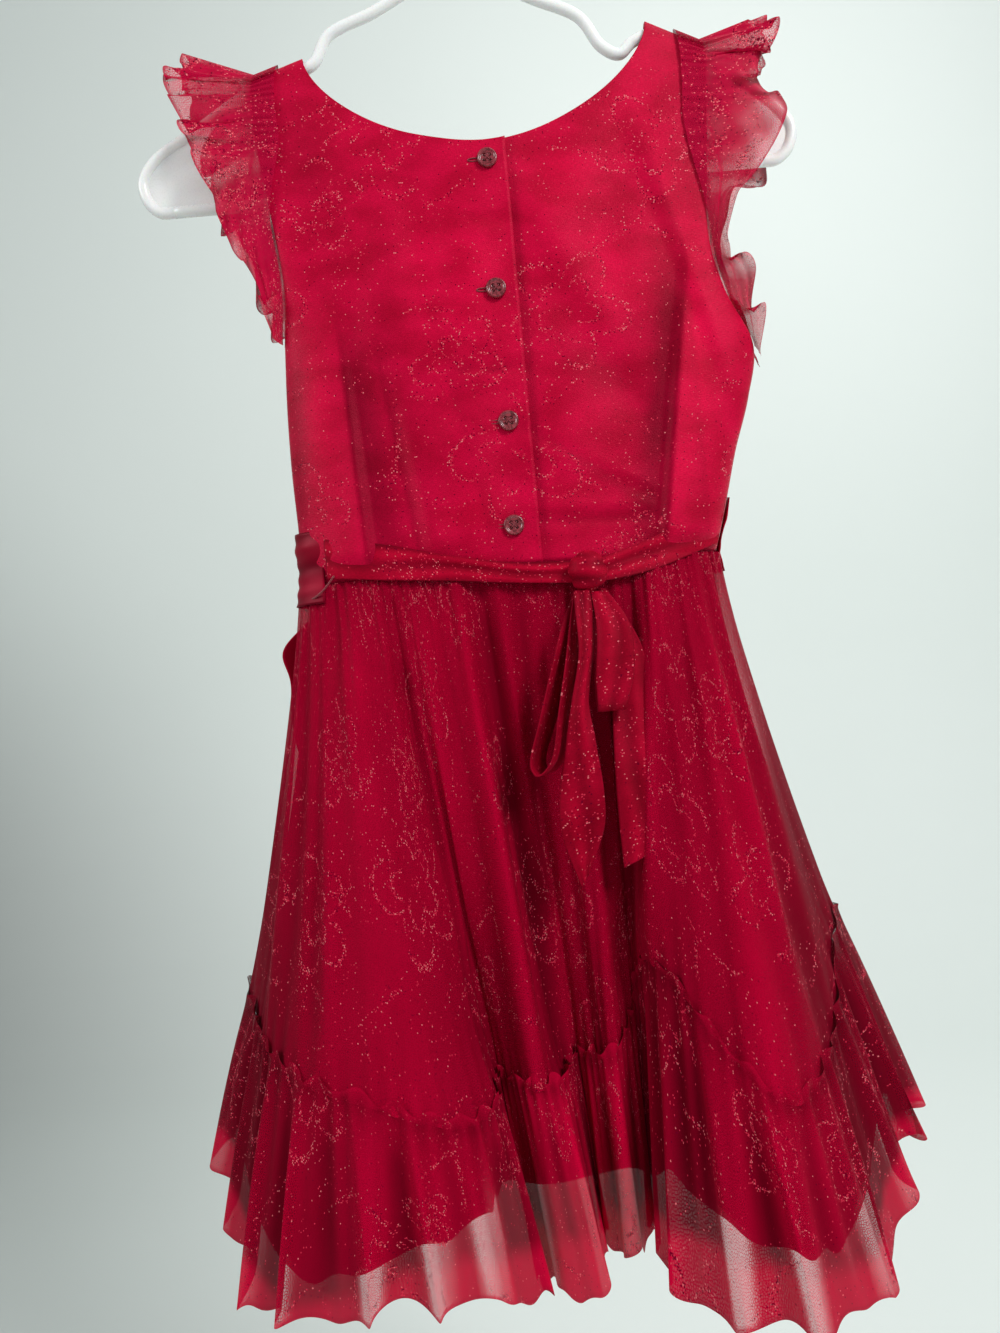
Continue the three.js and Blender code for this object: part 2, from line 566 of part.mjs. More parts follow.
// Adds a skirt layer as a back and a front half, each from side seam to side seam.
function addHalves(name, folds, surface, size, thickness, material) {
  const ranges = [
    ["back", 0, folds.rightSeam],
    ["front", folds.rightSeam, 1],
  ];
  for (const [half, from, to] of ranges) {
    const columns = Math.round(size.columns * (to - from));
    const point = (u, v) => surface(lerp(from + SEAM_STEP, to - SEAM_STEP, u), v);
    addPiece(`${name}_${half}`, clothGeometry([{ point, columns, rows: size.rows }], thickness), material);
  }
}

const tulleFolds = skirtFolds(BACK_FOLDS, FRONT_FOLDS, TULLE_FLARE);
const liningFolds = skirtFolds(LINING_BACK_FOLDS, LINING_FRONT_FOLDS, LINING_FLARE);

function liningPoint(s, v) {
  return foldPointOut(liningFolds, s, 1 - v, lerp(LINING.atHem, LINING.atWaist, v));
}

// Share of the way down to the hem at which the ruffle's seam runs.
function seamShare(s) {
  const { z: seamZ } = tulleFolds.heights.getPoint(cycle(s));
  return (WAIST_Z - seamZ) / (WAIST_Z - tulleFolds.hem.getPoint(cycle(s)).z);
}

function tullePoint(s, v) {
  const t = seamShare(s) * (1 - v);
  const depth = TULLE_TIER.rippleDepth * Math.sin(Math.PI * v);
  const ripple = depth * Math.sin(2 * Math.PI * TULLE_TIER.ripples * s);
  return foldPointOut(tulleFolds, s, t, TULLE_TIER.offset + ripple);
}

// Rows of the ruffle from its hem to the top of its header: share down, distance out and size of the waves.
function ruffleRows(s) {
  const seam = seamShare(s);
  const drop = WAIST_Z - tulleFolds.hem.getPoint(cycle(s)).z;
  const between = (share) => ({
    down: lerp(seam, 1, share),
    out: lerp(RUFFLE.atSeam, RUFFLE.atHem, share),
    wave: lerp(RUFFLE.seamWave, RUFFLE.hemWave, share),
  });
  const header = { down: seam - RUFFLE.header / drop, out: RUFFLE.atHeader, wave: RUFFLE.headerWave };
  return [between(1), between(0.55), between(0.2), between(0), header];
}

const RUFFLE_STRIPS = 4;

function rufflePoint(s, v) {
  const rows = ruffleRows(s);
  const at = v * RUFFLE_STRIPS;
  const { y: ease } = tulleFolds.heights.getPoint(cycle(s));
  const swing = Math.sin(2 * Math.PI * RUFFLE.waves * s) * clamp(ease, 0.2, 1);
  const distance = column(rows, "out", at) + column(rows, "wave", at) * swing;
  return foldPointOut(tulleFolds, s, column(rows, "down", at), distance);
}

function addSkirt() {
  addHalves("skirt_lining", liningFolds, liningPoint, LINING, SATIN_THICKNESS, MATERIALS.satin);
  addHalves("skirt_tulle", tulleFolds, tullePoint, TULLE_TIER, TULLE_THICKNESS, MATERIALS.tulle);
  const size = { columns: RUFFLE.columns, rows: RUFFLE_STRIPS };
  addHalves("hem_ruffle", tulleFolds, rufflePoint, size, TULLE_THICKNESS, MATERIALS.tulle);
}

// ---------------------------------------------------------------- sash and belt
// A point outside the waist at the share f of the half width, at a height near the waist seam.
function waistPoint(f, z, face, clearance) {
  const lowZ = face < 0 ? NECK.backLowZ : NECK.frontLowZ;
  const place = (share) => {
    const side = share < 0 ? -1 : 1;
    const centreStep = (lowZ - WAIST_Z) / NECK_SECTION;
    const rowHeight = lerp(centreStep, outerEdge(side, 1).z - WAIST_Z, Math.abs(share));
    const row = Math.max((z - WAIST_Z) / rowHeight, 0);
    const x = AXIS_X + Math.abs(share) * (outerEdge(side, row).x - AXIS_X);
    return new THREE.Vector3(x, bodiceY(x, z, row, face), z);
  };
  const along = place(Math.min(f + SLOPE_STEP, 1)).sub(place(Math.max(f - SLOPE_STEP, -1)));
  const out = new THREE.Vector3(-face * along.y, face * along.x, 0).normalize();
  return place(f).addScaledVector(out, clearance);
}

// The sash covers the front of the waist and wraps round the left side to the edge of the glitter cloth.
function sashPoint(u, v) {
  const z = lerp(SASH.bottomZ, SASH.topZ, v);
  const clearance = SASH.clearance + WAIST_SPREAD * Math.max(WAIST_Z - z, 0);
  const folds = SASH.foldDepth * (0.5 - 0.5 * Math.cos(2 * Math.PI * SASH.folds * v));
  const wrap = Math.asin(-SASH.backEnd);
  const turn = lerp(-(Math.PI - wrap), Math.PI / 2, clamp(u, 0, 1));
  const face = turn < -Math.PI / 2 ? -1 : 1;
  return waistPoint(Math.sin(turn), z, face, clearance + folds);
}

// The tail lies on the tulle beside the left seam, where only its corner passes the outline of the skirt.
function sashTailPoint(u, v) {
  const z = lerp(SASH_TAIL.endZ, SASH_TAIL.startZ, v);
  const t = (WAIST_Z - z) / (WAIST_Z - tulleFolds.hem.getPoint(0).z);
  const bulge = Math.sin(Math.PI * clamp(v, 0, 1));
  const s = -lerp(SASH_TAIL.nearShare * (1 - 0.5 * bulge), SASH_TAIL.farShare, u);
  const place = foldPointOut(tulleFolds, s, t, SASH_TAIL.lift + SASH_TAIL.bulge * bulge * (1 - u));
  place.z += SASH_TAIL.slant * u * (1 - v);
  return place;
}

function addSash() {
  const sash = { point: mirrored(sashPoint), columns: 20, rows: 5 };
  addPiece("front_sash", clothGeometry([sash], RIBBON_THICKNESS), MATERIALS.satin);
  const tail = { point: mirrored(sashTailPoint), columns: 3, rows: 5 };
  addPiece("front_sash_tail", clothGeometry([tail], RIBBON_THICKNESS), MATERIALS.satin);
}

// A stretch of the glitter belt between two rows of its table, lying on the back of the waist.
function addBelt(name, fromRow, toRow, columns) {
  const point = (u, v) => {
    const row = lerp(fromRow, toRow, u);
    const z = column(BELT_PATH, "z", row) + column(BELT_PATH, "width", row) * (v - 0.5);
    const x = column(BELT_PATH, "x", row);
    const edge = outerEdge(x < AXIS_X ? -1 : 1, 0).x;
    const f = clamp((x - AXIS_X) / Math.abs(edge - AXIS_X), -BELT.sideLimit, BELT.sideLimit);
    const lap = PLACKET.lift * (1 - THREE.MathUtils.smoothstep(x, KNOT.x, KNOT.x + 60));
    return waistPoint(f, z, -1, BELT.clearance + lap + WAIST_SPREAD * Math.max(WAIST_Z - z, 0));
  };
  addPiece(name, clothGeometry([{ point, columns, rows: 3 }], RIBBON_THICKNESS), MATERIALS.glitterCloth);
}

// A hanging ribbon through the rows of a table. cut makes one edge of its end longer.
function addRibbon(name, rows, columns, cut = 0) {
  const smooth = new THREE.CatmullRomCurve3(rows.map(({ x, y, z }) => new THREE.Vector3(x, y, z)));
  const point = (u, v) => {
    const share = clamp(1 - v, 0, 1);
    const row = share * (rows.length - 1);
    const turn = degToRad(column(rows, "turn", row));
    const aside = (u - 0.5) * column(rows, "width", row);
    const place = smooth.getPoint(share);
    place.x += aside * Math.cos(turn);
    place.y += aside * Math.sin(turn);
    place.z += cut * (u - 0.5) * share ** 4;
    return place;
  };
  const patch = { point, columns, rows: 2 * (rows.length - 1) };
  addPiece(name, clothGeometry([patch], RIBBON_THICKNESS), MATERIALS.glitterCloth);
}

function addBow() {
  addBelt("belt_left", 0, BELT.leftEndRow, 12);
  addBelt("belt_right", BELT.rightStartRow, BELT_PATH.length - 1, 8);
  const knot = new THREE.SphereGeometry(1, 14, 10);
  knot.scale(KNOT.halfWidth, KNOT.halfDepth, KNOT.halfHeight);
  addPiece("belt_knot", knot, MATERIALS.glitterCloth).position.set(KNOT.x, KNOT.y, KNOT.z);
  addRibbon("bow_loop_left", BOW_LOOP_LEFT, 2);
  addRibbon("bow_loop_right", BOW_LOOP_RIGHT, 2);
  addRibbon("bow_tail_left", BOW_TAIL_LEFT, 3, TAIL_CUT);
  addRibbon("bow_tail_right", BOW_TAIL_RIGHT, 3, TAIL_CUT);
}

// ---------------------------------------------------------------- buttons
// A dished disc with a raised rim and four holes, its face towards -Y.
function buttonGeometry() {
  const { radius, thickness, bevel, rim, dish, sides } = BUTTON;
  const profile = [
    [0, 0],
    [radius - bevel, 0],
    [radius, bevel],
    [radius, thickness - bevel],
    [radius - bevel, thickness],
    [radius - rim, thickness - dish],
    [0, thickness - dish],
  ].map(([x, y]) => new THREE.Vector2(x, y));
  let disc = toSolid(new THREE.LatheGeometry(profile, sides));
  for (const sx of [-1, 1]) {
    for (const sz of [-1, 1]) {
      const drill = BUTTON_HOLE.radius;
      const hole = new THREE.CylinderGeometry(drill, drill, 3 * thickness, BUTTON_HOLE.sides);
      hole.translate(sx * BUTTON_HOLE.spacing, 0, sz * BUTTON_HOLE.spacing);
      disc = disc.subtract(toSolid(hole));
    }
  }
  return toGeometry(disc).rotateX(Math.PI);
}

function addButtons() {
  const geometry = buttonGeometry();
  const rowHeight = (NECK.backLowZ - WAIST_Z) / NECK_SECTION;
  BUTTON_PLACES.forEach(({ x, z }, id) => {
    const clothY = (height) => bodiceY(x, height, (height - WAIST_Z) / rowHeight, -1) - PLACKET.lift;
    const button = addPiece(`button_${id + 1}`, geometry, MATERIALS.button);
    button.position.set(x, clothY(z) - 1.5 * SEAM_GAP, z);
    button.rotation.x = -Math.atan2(clothY(z + BUTTON.radius) - clothY(z - BUTTON.radius), 2 * BUTTON.radius);
  });
}

// ---------------------------------------------------------------- hanger
function tubeGeometry(points, steps) {
  const circle = new THREE.EllipseCurve(0, 0, TUBE_RADIUS, TUBE_RADIUS).getPoints(TUBE_SIDES);
  const section = new THREE.Shape(circle.slice(0, TUBE_SIDES));
  const path = new THREE.CatmullRomCurve3(points);
  return new THREE.ExtrudeGeometry(section, { steps, bevelEnabled: false, extrudePath: path });
}

const inPlane = ({ x, z }) => new THREE.Vector3(x, MID_Y, z);

function armGeometry(rows, side) {
  const tube = toSolid(tubeGeometry(rows.map(inPlane), 30));
  const tail = rows.slice(-5, -1);
  const web = new THREE.Shape();
  web.moveTo(side * END_WEB.armX, END_WEB.armZ);
  tail.forEach(({ x, z }) => web.lineTo(x, z));
  const bottomZ = rows.at(-1).z + TUBE_RADIUS + END_WEB.barGap;
  web.lineTo(side * END_WEB.outerX, bottomZ);
  web.lineTo(side * END_WEB.barX, bottomZ);
  web.quadraticCurveTo(side * END_WEB.bellyX, END_WEB.bellyZ, side * END_WEB.armX, END_WEB.armZ);
  const extrusion = { depth: END_WEB.thickness, bevelEnabled: false, curveSegments: 6 };
  const plate = new THREE.ExtrudeGeometry(web, extrusion);
  plate.rotateX(Math.PI / 2);
  plate.translate(0, MID_Y + END_WEB.thickness / 2, 0);
  return toGeometry(tube.add(toSolid(plate)));
}

function addHanger() {
  const radius = HOOK.innerRadius + TUBE_RADIUS;
  const centreZ = -HOOK.innerRadius;
  const hook = [inPlane({ x: 0, z: HOOK.neckZ }), inPlane({ x: 0, z: HOOK.neckZ + HOOK.neckLength })];
  for (let bend = 0; bend <= HOOK.bends; bend += 1) {
    const angle = degToRad(lerp(HOOK.neckAngle, HOOK.tipAngle, bend / HOOK.bends));
    hook.push(inPlane({ x: radius * Math.cos(angle), z: centreZ + radius * Math.sin(angle) }));
  }
  addPiece("hanger_hook", tubeGeometry(hook, 22), MATERIALS.plastic);
  addPiece("hanger_arm_left", armGeometry(LEFT_ARM, -1), MATERIALS.plastic);
  addPiece("hanger_arm_right", armGeometry(RIGHT_ARM, 1), MATERIALS.plastic);
  const bar = LEFT_ARM.at(-1);
  const ends = [bar.x + 2 * SEAM_GAP, -bar.x - 2 * SEAM_GAP].map((x) => inPlane({ x, z: bar.z }));
  addPiece("hanger_bar", tubeGeometry(ends, 2), MATERIALS.plastic);
}

addBodice();
addSleeves();
addSkirt();
addSash();
addBow();
addButtons();
addHanger();

export default dress;
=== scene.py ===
# A girl's crimson tulle party dress on a white plastic hanger, seen from its buttoned back.
import math
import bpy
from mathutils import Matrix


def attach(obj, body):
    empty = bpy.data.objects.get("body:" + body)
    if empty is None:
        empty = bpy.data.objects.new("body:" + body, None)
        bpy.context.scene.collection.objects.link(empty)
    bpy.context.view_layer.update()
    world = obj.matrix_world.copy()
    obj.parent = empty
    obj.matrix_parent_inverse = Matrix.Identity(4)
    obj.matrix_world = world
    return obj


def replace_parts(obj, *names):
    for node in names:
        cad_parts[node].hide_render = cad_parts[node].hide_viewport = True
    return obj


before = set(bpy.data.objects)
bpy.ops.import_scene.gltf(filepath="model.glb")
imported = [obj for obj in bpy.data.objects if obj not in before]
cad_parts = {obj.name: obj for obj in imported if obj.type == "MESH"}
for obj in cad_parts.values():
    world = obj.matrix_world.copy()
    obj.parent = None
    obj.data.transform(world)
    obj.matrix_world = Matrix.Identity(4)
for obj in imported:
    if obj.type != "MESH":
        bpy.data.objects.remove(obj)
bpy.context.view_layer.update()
from types import SimpleNamespace as Sizes

import bpy
import numpy as np
from mathutils import Matrix, Vector

MM = 0.001  # every shape below is worked out in millimetres

# ---------------------------------------------------------------- sizes shared with the solids
MID_Y = 0.0
AXIS_X = 11.0
SEAM_GAP = 0.3
WAIST_Z = -475.0
SIDE_ROUNDNESS = 2.6
NECK = Sizes(half_width=110.8, left_z=-135, right_z=-130, back_low_z=-204, front_low_z=-210, power=1.7)
PLACKET = Sizes(over_edge=25, under_edge=-4, lift=2.3, blend=38)


def table(names, *rows):
    """Columns by name, each an array with one value a row."""
    return dict(zip(names.split(), np.array(rows, float).T))


BODICE = table(
    "left_x left_z right_x right_z depth open neck",
    (-128, -475, 137.5, -475, 30, 0, 0),
    (-128.5, -437, 147, -443, 28, 0, 0),
    (-129.5, -398, 156, -411, 26, 0, 0),
    (-129, -358, 167, -378, 24, 0, 0),
    (-127, -318, 173, -345, 22, 0, 0),
    (-123.5, -284, 157, -312, 19.5, 0.4, 0),
    (-126, -250, 149, -276, 17, 0.7, 0),
    (-130, -215, 151, -236, 14.5, 0.85, 0.25),
    (-133.5, -184, 155, -194, 12, 0.95, 0.48),
    (-134.5, -163, 157, -167, 9, 1, 0.72),
    (-133.6, -151.4, 157, -153.4, 5.8, 1, 0.93),
    (-132.6, -146.9, 156.4, -148.9, 4, 1, 0.978),
    (-132, -145, 156, -147, 0.6, 1, 1),
)
LAST_SECTION = 12
UNDERARM_SECTION = 4
NECK_SECTION = 6
STRAP_SECTION = 9
OPEN_BEND = 0.12
BODICE_DEPTHS = table("z depth", (-475, 30), (-318, 22), (-250, 17.5), (-204, 14), (-163, 9))

SLEEVE_SIZES = table(
    "left_reach left_rise right_reach right_rise",
    (3, -4, 3, -3),
    (14, -8, 15, -4),
    (30, -6, 12, 2),
    (36, -4, 44, 0),
    (43, -4, 34, 2),
    (47, -2, 40, 0),
    (48, 2, 46, 2),
    (43, 14, 35, 9),
)
SLEEVE = Sizes(
    band=16, band_share=0.4, set_off=0.9, stand=2.4, spread=4,
    shoulder_lift=3, folds=5, fold_depth=9, overlap=8, crumple=2.8, gathers=0.6,
)

TULLE_BACK = table(
    "waist_x hem_x hem_y hem_z seam_z ease",
    (-128, -215, 24, -832, -733, 1),
    (-127, -197, -30, -845, -742, 1),
    (-125, -184, -76, -857, -748, 1),
    (-121, -162, -114, -870, -755, 1),
    (-114, -132, -139, -864, -761, 1),
    (-105, -98, -147, -860, -767, 1),
    (-95, -62, -146, -858, -778, 0.9),
    (-85, -32, -136, -864, -784, 0.6),
    (-76, -15, -115, -877, -782, 0.3),
    (-68, -19, -92, -883, -779, 0.2),
    (-59, -15, -72, -884, -779, 0.2),
    (-49, -5, -84, -885, -778, 0.2),
    (-38, 7, -100, -886, -779, 0.4),
    (-26, 20, -88, -884, -780, 0.3),
    (-14, 20, -62, -881, -778, 0.2),
    (2, 26, -44, -880, -776, 0.2),
    (20, 34, -58, -881, -774, 0.2),
    (34, 40, -71, -882, -772, 0.3),
    (48, 47, -57, -880, -760, 0.2),
    (60, 55, -42, -878, -742, 0.2),
    (70, 63, -62, -879, -724, 0.2),
    (79, 60, -92, -882, -716, 0.4),
    (88, 78, -126, -886, -732, 0.8),
    (98, 108, -144, -889, -766, 1),
    (109, 138, -144, -890, -788, 1),
    (119, 168, -116, -888, -780, 1),
    (128, 193, -72, -877, -764, 1),
    (133, 218, -20, -854, -726, 1),
)
TULLE_FRONT = table(
    "waist_x hem_x hem_y hem_z seam_z ease",
    (137.5, 238, 26, -852, -714, 1),
    (125, 214, 49, -854, -734, 0.8),
    (96, 160, 46, -856, -748, 0.8),
    (64, 104, 53, -856, -748, 0.8),
    (32, 52, 44, -856, -748, 0.8),
    (0, -2, 53, -856, -748, 0.8),
    (-32, -54, 45, -856, -748, 0.8),
    (-62, -104, 53, -856, -748, 0.8),
    (-90, -152, 46, -856, -748, 0.8),
    (-117, -197, 49, -845, -740, 0.8),
)
LINING_BACK = table(
    "waist_x hem_x hem_y hem_z",
    (-126, -206, 23, -812),
    (-125, -194, -22, -825),
    (-122, -176, -68, -845),
    (-117, -154, -98, -861),
    (-109, -127, -119, -856),
    (-100, -95, -127, -845),
    (-89, -64, -122, -838),
    (-77, -42, -104, -838),
    (-66, -36, -78, -841),
    (-50, -30, -54, -844),
    (-24, -12, -38, -852),
    (10, 22, -24, -858),
    (46, 50, -30, -855),
    (70, 68, -42, -852),
    (84, 80, -70, -852),
    (92, 92, -98, -856),
    (101, 114, -120, -860),
    (110, 138, -123, -864),
    (118, 159, -101, -866),
    (126, 182, -64, -860),
    (131, 205, -18, -838),
)
LINING_FRONT = table(
    "waist_x hem_x hem_y hem_z",
    (135.5, 225, 23, -830),
    (122, 204, 38, -838),
    (94, 152, 38, -838),
    (48, 76, 37, -838),
    (0, 0, 38, -838),
    (-46, -76, 37, -838),
    (-88, -146, 38, -838),
    (-114, -188, 38, -825),
)
TULLE_FLARE = 1.2
LINING_FLARE = 1.35
HALF_STEP = 0.0001  # share of the way round left open at a side seam
TULLE_OFFSET = 0.9
RUFFLE = Sizes(header=7, at_header=4.4, at_seam=3.6, at_hem=5, waves=34)

SASH = Sizes(top_z=-441, bottom_z=-487, back_end=-0.875, clearance=2.35, folds=2, depth=1)
SASH_TAIL = Sizes(
    start_z=-487.4, end_z=-592, near=0.022, far=0.05, lift=3.7, bulge=7, slant=14,
    corner_z=-512, corner=13,
)
WAIST_SPREAD = 0.27
BELT_PATH = table(
    "x z width",
    (-108, -460, 25),
    (-70, -466, 22),
    (-33, -473, 16),
    (4, -479, 13),
    (42, -482, 14),
    (59.5, -482, 15),
    (90, -475, 20),
    (116, -465, 24),
    (134, -458, 25),
)
BELT = Sizes(clearance=2.2, left_end_row=4, right_start_row=5, side_limit=0.98)
KNOT = Sizes(x=51, y=-43.4, z=-483, half_width=12, half_depth=9.5, half_height=13)
LOOP_LEFT = table(
    "x y z width turn",
    (46, -41.4, -496.2, 10, 10),
    (34, -48, -530, 22, 50),
    (20, -55, -568, 26, 64),
    (11, -58, -596, 26, 68),
    (14, -59, -601, 26, 68),
    (22, -60, -594, 26, 68),
    (30, -58, -566, 24, 62),
    (39, -53, -530, 17, 45),
    (46, -45.4, -496.2, 10, 10),
)
LOOP_RIGHT = table(
    "x y z width turn",
    (56.4, -41.5, -496.2, 10, 0),
    (62, -47, -520, 20, 6),
    (60, -52, -548, 23, 10),
    (57, -55, -563, 18, 10),
    (57, -59, -567, 18, 10),
    (57, -63, -563, 18, 10),
    (60, -63, -546, 23, 8),
    (62, -57, -518, 20, 4),
    (56.4, -46, -496.2, 10, 0),
)
TAIL_LEFT = table(
    "x y z width turn",
    (46, -49, -494.6, 10, 10),
    (45, -62, -530, 15, 50),
    (38, -67, -562, 14, 40),
    (36, -69, -586, 18, 0),
    (34, -70, -612, 26, -14),
    (33, -70, -636, 25, -10),
    (32, -70, -664, 5, -6),
)
TAIL_RIGHT = table(
    "x y z width turn",
    (56.4, -38, -494, 10, 0),
    (70, -41, -530, 20, 6),
    (70, -47, -566, 24, 8),
    (68, -55, -604, 25, 8),
    (67, -60, -634, 24, 5),
    (66, -62, -656, 21, 4),
)
TAIL_CUT = 9
RIBBON_FOLD = 0.6

BUTTON = Sizes(
    radius=6.35, thickness=2.8, rim=1.5, bevel=0.9, dish=0.7, hole_radius=0.95, hole_spacing=1.75,
    hole_depth=1.5, thread_radius=0.28,
)
CARRIER = Sizes(start_x=-123, start_z=-484, end_x=-105, end_z=-471, sag=3, stand=5.5, bow=2.5, radius=0.55)
HOLE_END = Sizes(aside=8.5, half_width=3.6, half_height=1.0, stand=0.25, radius=0.4)
BUTTON_PLACES = ((12.7, -217), (11.1, -301), (11.5, -385), (9.2, -450))

TUBE_RADIUS = 3.75
HOOK = Sizes(inner_radius=21, neck_z=-77.4, neck_length=14, neck_angle=-38, tip_angle=218, bends=12)
LEFT_ARM = (
    (-2.2, -81.2), (-50, -107.5), (-82, -121), (-93, -138), (-104, -142.8), (-132, -151.6),
    (-170, -174), (-200, -192), (-209, -206), (-206, -219), (-199, -225.4), (-190, -226),
)
RIGHT_ARM = (
    (2.2, -81.2), (50, -107.5), (80, -123), (93, -143), (104, -149), (113, -142), (124, -138.5),
    (140, -146), (156, -154), (200, -190), (210, -205), (207, -218.5), (199, -225.4), (190, -226),
)
END_WEB = Sizes(
    thickness=2, belly_x=188, belly_z=-197, bar_x=158, arm_x=152, arm_z=-165, spans_back=6.35,
)


# ---------------------------------------------------------------- sizes that only the cloth has
# Columns and rows of each cloth's grid. Those of the skirt's layers are for the whole way round.
GRIDS = dict(
    bodice=(100, 130), sleeve=(480, 50), lining=(600, 60), net=(1300, 66), ruffle=(1900, 38),
    sash=(200, 30), sash_tail=(30, 60), belt_left=(150, 28), belt_right=(90, 28), ribbon=(20, 110),
    knot=(96, 60), floor=(2, 60),
)
# Heights of each layer's waves, and the lengths around and down over which its pattern is laid out. The
# ruffle's lean is a share of the way round, and header_share is one of its height.
LINING_WAVES = Sizes(at_waist=1.3, at_hem=0.9, inset=0.7, trough=4, hem_rise=3.2, around=1000, down=380)
NET_WAVES = Sizes(fine=0.4, gathers=0.9, drape=2.6, pull=1.4, clear=1.4, around=1300, down=300)
RUFFLE_WAVES = Sizes(
    at_seam=1.5, at_hem=9.5, second=2.4, tight=1.1, frill=1.8, lean=0.0036, cut=1.8, sweep=4.5,
    header_share=0.08, around=2300, down=125,
)


# ---------------------------------------------------------------- curves and waves
def lerp(a, b, share):
    return a + (b - a) * share


def smoothstep(x, low, high):
    """0 below low, 1 above high, and the cubic 3t^2 - 2t^3 between them."""
    t = np.clip((x - low) / (high - low), 0, 1)
    return t * t * (3 - 2 * t)


def column(rows, name, row):
    """A table's column at fractional rows, straight between the rows."""
    return np.interp(row, np.arange(len(rows[name])), rows[name])


def spline(points, share, closed=False, tension=None):
    """A Catmull-Rom curve through the points at shares 0 to 1 of its spans: a cubic in each span whose
    slopes come from its neighbours, centripetal unless a tension is given."""
    points = np.asarray(points, float)
    count = len(points)
    spans = count if closed else count - 1
    place = (np.mod(share, 1) if closed else np.clip(share, 0, 1)) * spans
    first = np.minimum(place.astype(int), spans - 1)
    t = (place - first)[..., None]
    if closed:
        p0, p1, p2, p3 = (points[(first + step) % count] for step in (-1, 0, 1, 2))
    else:
        longer = np.vstack([2 * points[0] - points[1], points, 2 * points[-1] - points[-2]])
        p0, p1, p2, p3 = (longer[first + step] for step in (0, 1, 2, 3))
    if tension is None:
        d0, d1, d2 = (np.sqrt(np.linalg.norm(b - a, axis=-1, keepdims=True)) + 1e-6
                      for a, b in ((p0, p1), (p1, p2), (p2, p3)))
        m1 = ((p1 - p0) / d0 - (p2 - p0) / (d0 + d1) + (p2 - p1) / d1) * d1
        m2 = ((p2 - p1) / d1 - (p3 - p1) / (d1 + d2) + (p3 - p2) / d2) * d1
    else:
        m1, m2 = tension * (p2 - p0), tension * (p3 - p1)
    return p1 + t * (m1 + t * (3 * (p2 - p1) - 2 * m1 - m2 + t * (2 * (p1 - p2) + m1 + m2)))


def smooth_column(rows, name, row):
    """A table's column at fractional rows, on a smooth curve through the rows."""
    values = rows[name]
    return spline(values[:, None], np.asarray(row, float) / (len(values) - 1), tension=0.5)[..., 0]


def uneven(s, count, seed):
    """About count waves round a closed line, each of its own length and height: a sine whose phase and
    height swing with slower sines, whole numbers of them, so that the line still closes."""
    a, b, c, d = np.random.default_rng(seed).uniform(0, 2 * math.pi, 4)
    turn = 2 * math.pi * s
    drift = 1.9 * np.sin(3 * turn + a) + 1.1 * np.sin(7 * turn + b) + 0.6 * np.sin(13 * turn + c)
    height = 0.72 + 0.28 * np.sin(5 * turn + c) * np.sin(11 * turn + d)
    return height * np.sin(count * turn + drift + d)


def grid(columns, rows):
    """u to the right and v up, both 0 to 1, as two arrays of rows + 1 by columns + 1."""
    return np.meshgrid(np.linspace(0, 1, columns + 1), np.linspace(0, 1, rows + 1))


def stack(x, y, z):
    return np.stack(np.broadcast_arrays(x, y, z), -1).astype(float)


def crease(x, z, start, end, width, depth, taper=0.25):
    """A soft trough or ridge along a line: a Gaussian of the distance to it, fading at its ends."""
    (x0, z0), (x1, z1) = start, end
    dx, dz = x1 - x0, z1 - z0
    length = math.hypot(dx, dz)
    along = ((x - x0) * dx + (z - z0) * dz) / length**2
    across = ((x - x0) * dz - (z - z0) * dx) / length
    fade = smoothstep(along, -taper, taper) * (1 - smoothstep(along, 1 - taper, 1 + taper))
    return depth * np.exp(-((across / width) ** 2)) * fade


def arc_lengths(points, axis):
    """Distance along a grid of points in one direction, averaged over the other direction."""
    steps = np.linalg.norm(np.diff(points, axis=axis), axis=-1).mean(axis=1 - axis)
    return np.concatenate([[0], np.cumsum(steps)])


# ---------------------------------------------------------------- meshes
def quads(rows, columns):
    """Corner numbers of the faces of a grid, each turning right-handed about u cross v."""
    corner = (np.arange(rows)[:, None] * (columns + 1) + np.arange(columns)).ravel()
    return np.stack([corner, corner + 1, corner + columns + 2, corner + columns + 1], -1)


def sunk(stand, window, depth):
    """How far each point lies below the highest one within a window of columns, as a share of a depth."""
    wide = np.pad(stand, ((0, 0), (window, window)), mode="edge")
    highest = np.lib.stride_tricks.sliding_window_view(wide, 2 * window + 1, axis=1).max(-1)
    return smoothstep(highest - stand, 0, depth)


def set_light(mesh, light, doubled=None):
    """Stores at each point the painted light and shade of the cloth, and the share of net that lies double.
    """
    for name, given, plain in (("light", light, 1.0), ("doubled", doubled, 0.0)):
        if given is None:
            given = np.full(len(mesh.vertices), plain)
        values = np.asarray(given, float).ravel()
        mesh.attributes.new(name, "FLOAT", "POINT").data.foreach_set("value", values)


def add_object(name, vertices, faces, material):
    """A smooth mesh from vertices in millimetres, riding on the one body."""
    mesh = bpy.data.meshes.new(name)
    mesh.from_pydata((np.asarray(vertices) * MM).tolist(), [], faces)
    mesh.shade_smooth()
    mesh.materials.append(material)
    piece = bpy.data.objects.new(name, mesh)
    bpy.context.scene.collection.objects.link(piece)
    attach(piece, "root")
    return piece


def add_wall(piece, thickness):
    """Gives a sheet its thickness, inwards."""
    wall = piece.modifiers.new("wall", "SOLIDIFY")
    wall.thickness = thickness * MM
    wall.offset = -1


def weld(piece):
    """Joins the points of a grid that lie on each other, at a seam or a pole."""
    joined = piece.modifiers.new("joined", "WELD")
    joined.merge_threshold = 1e-6


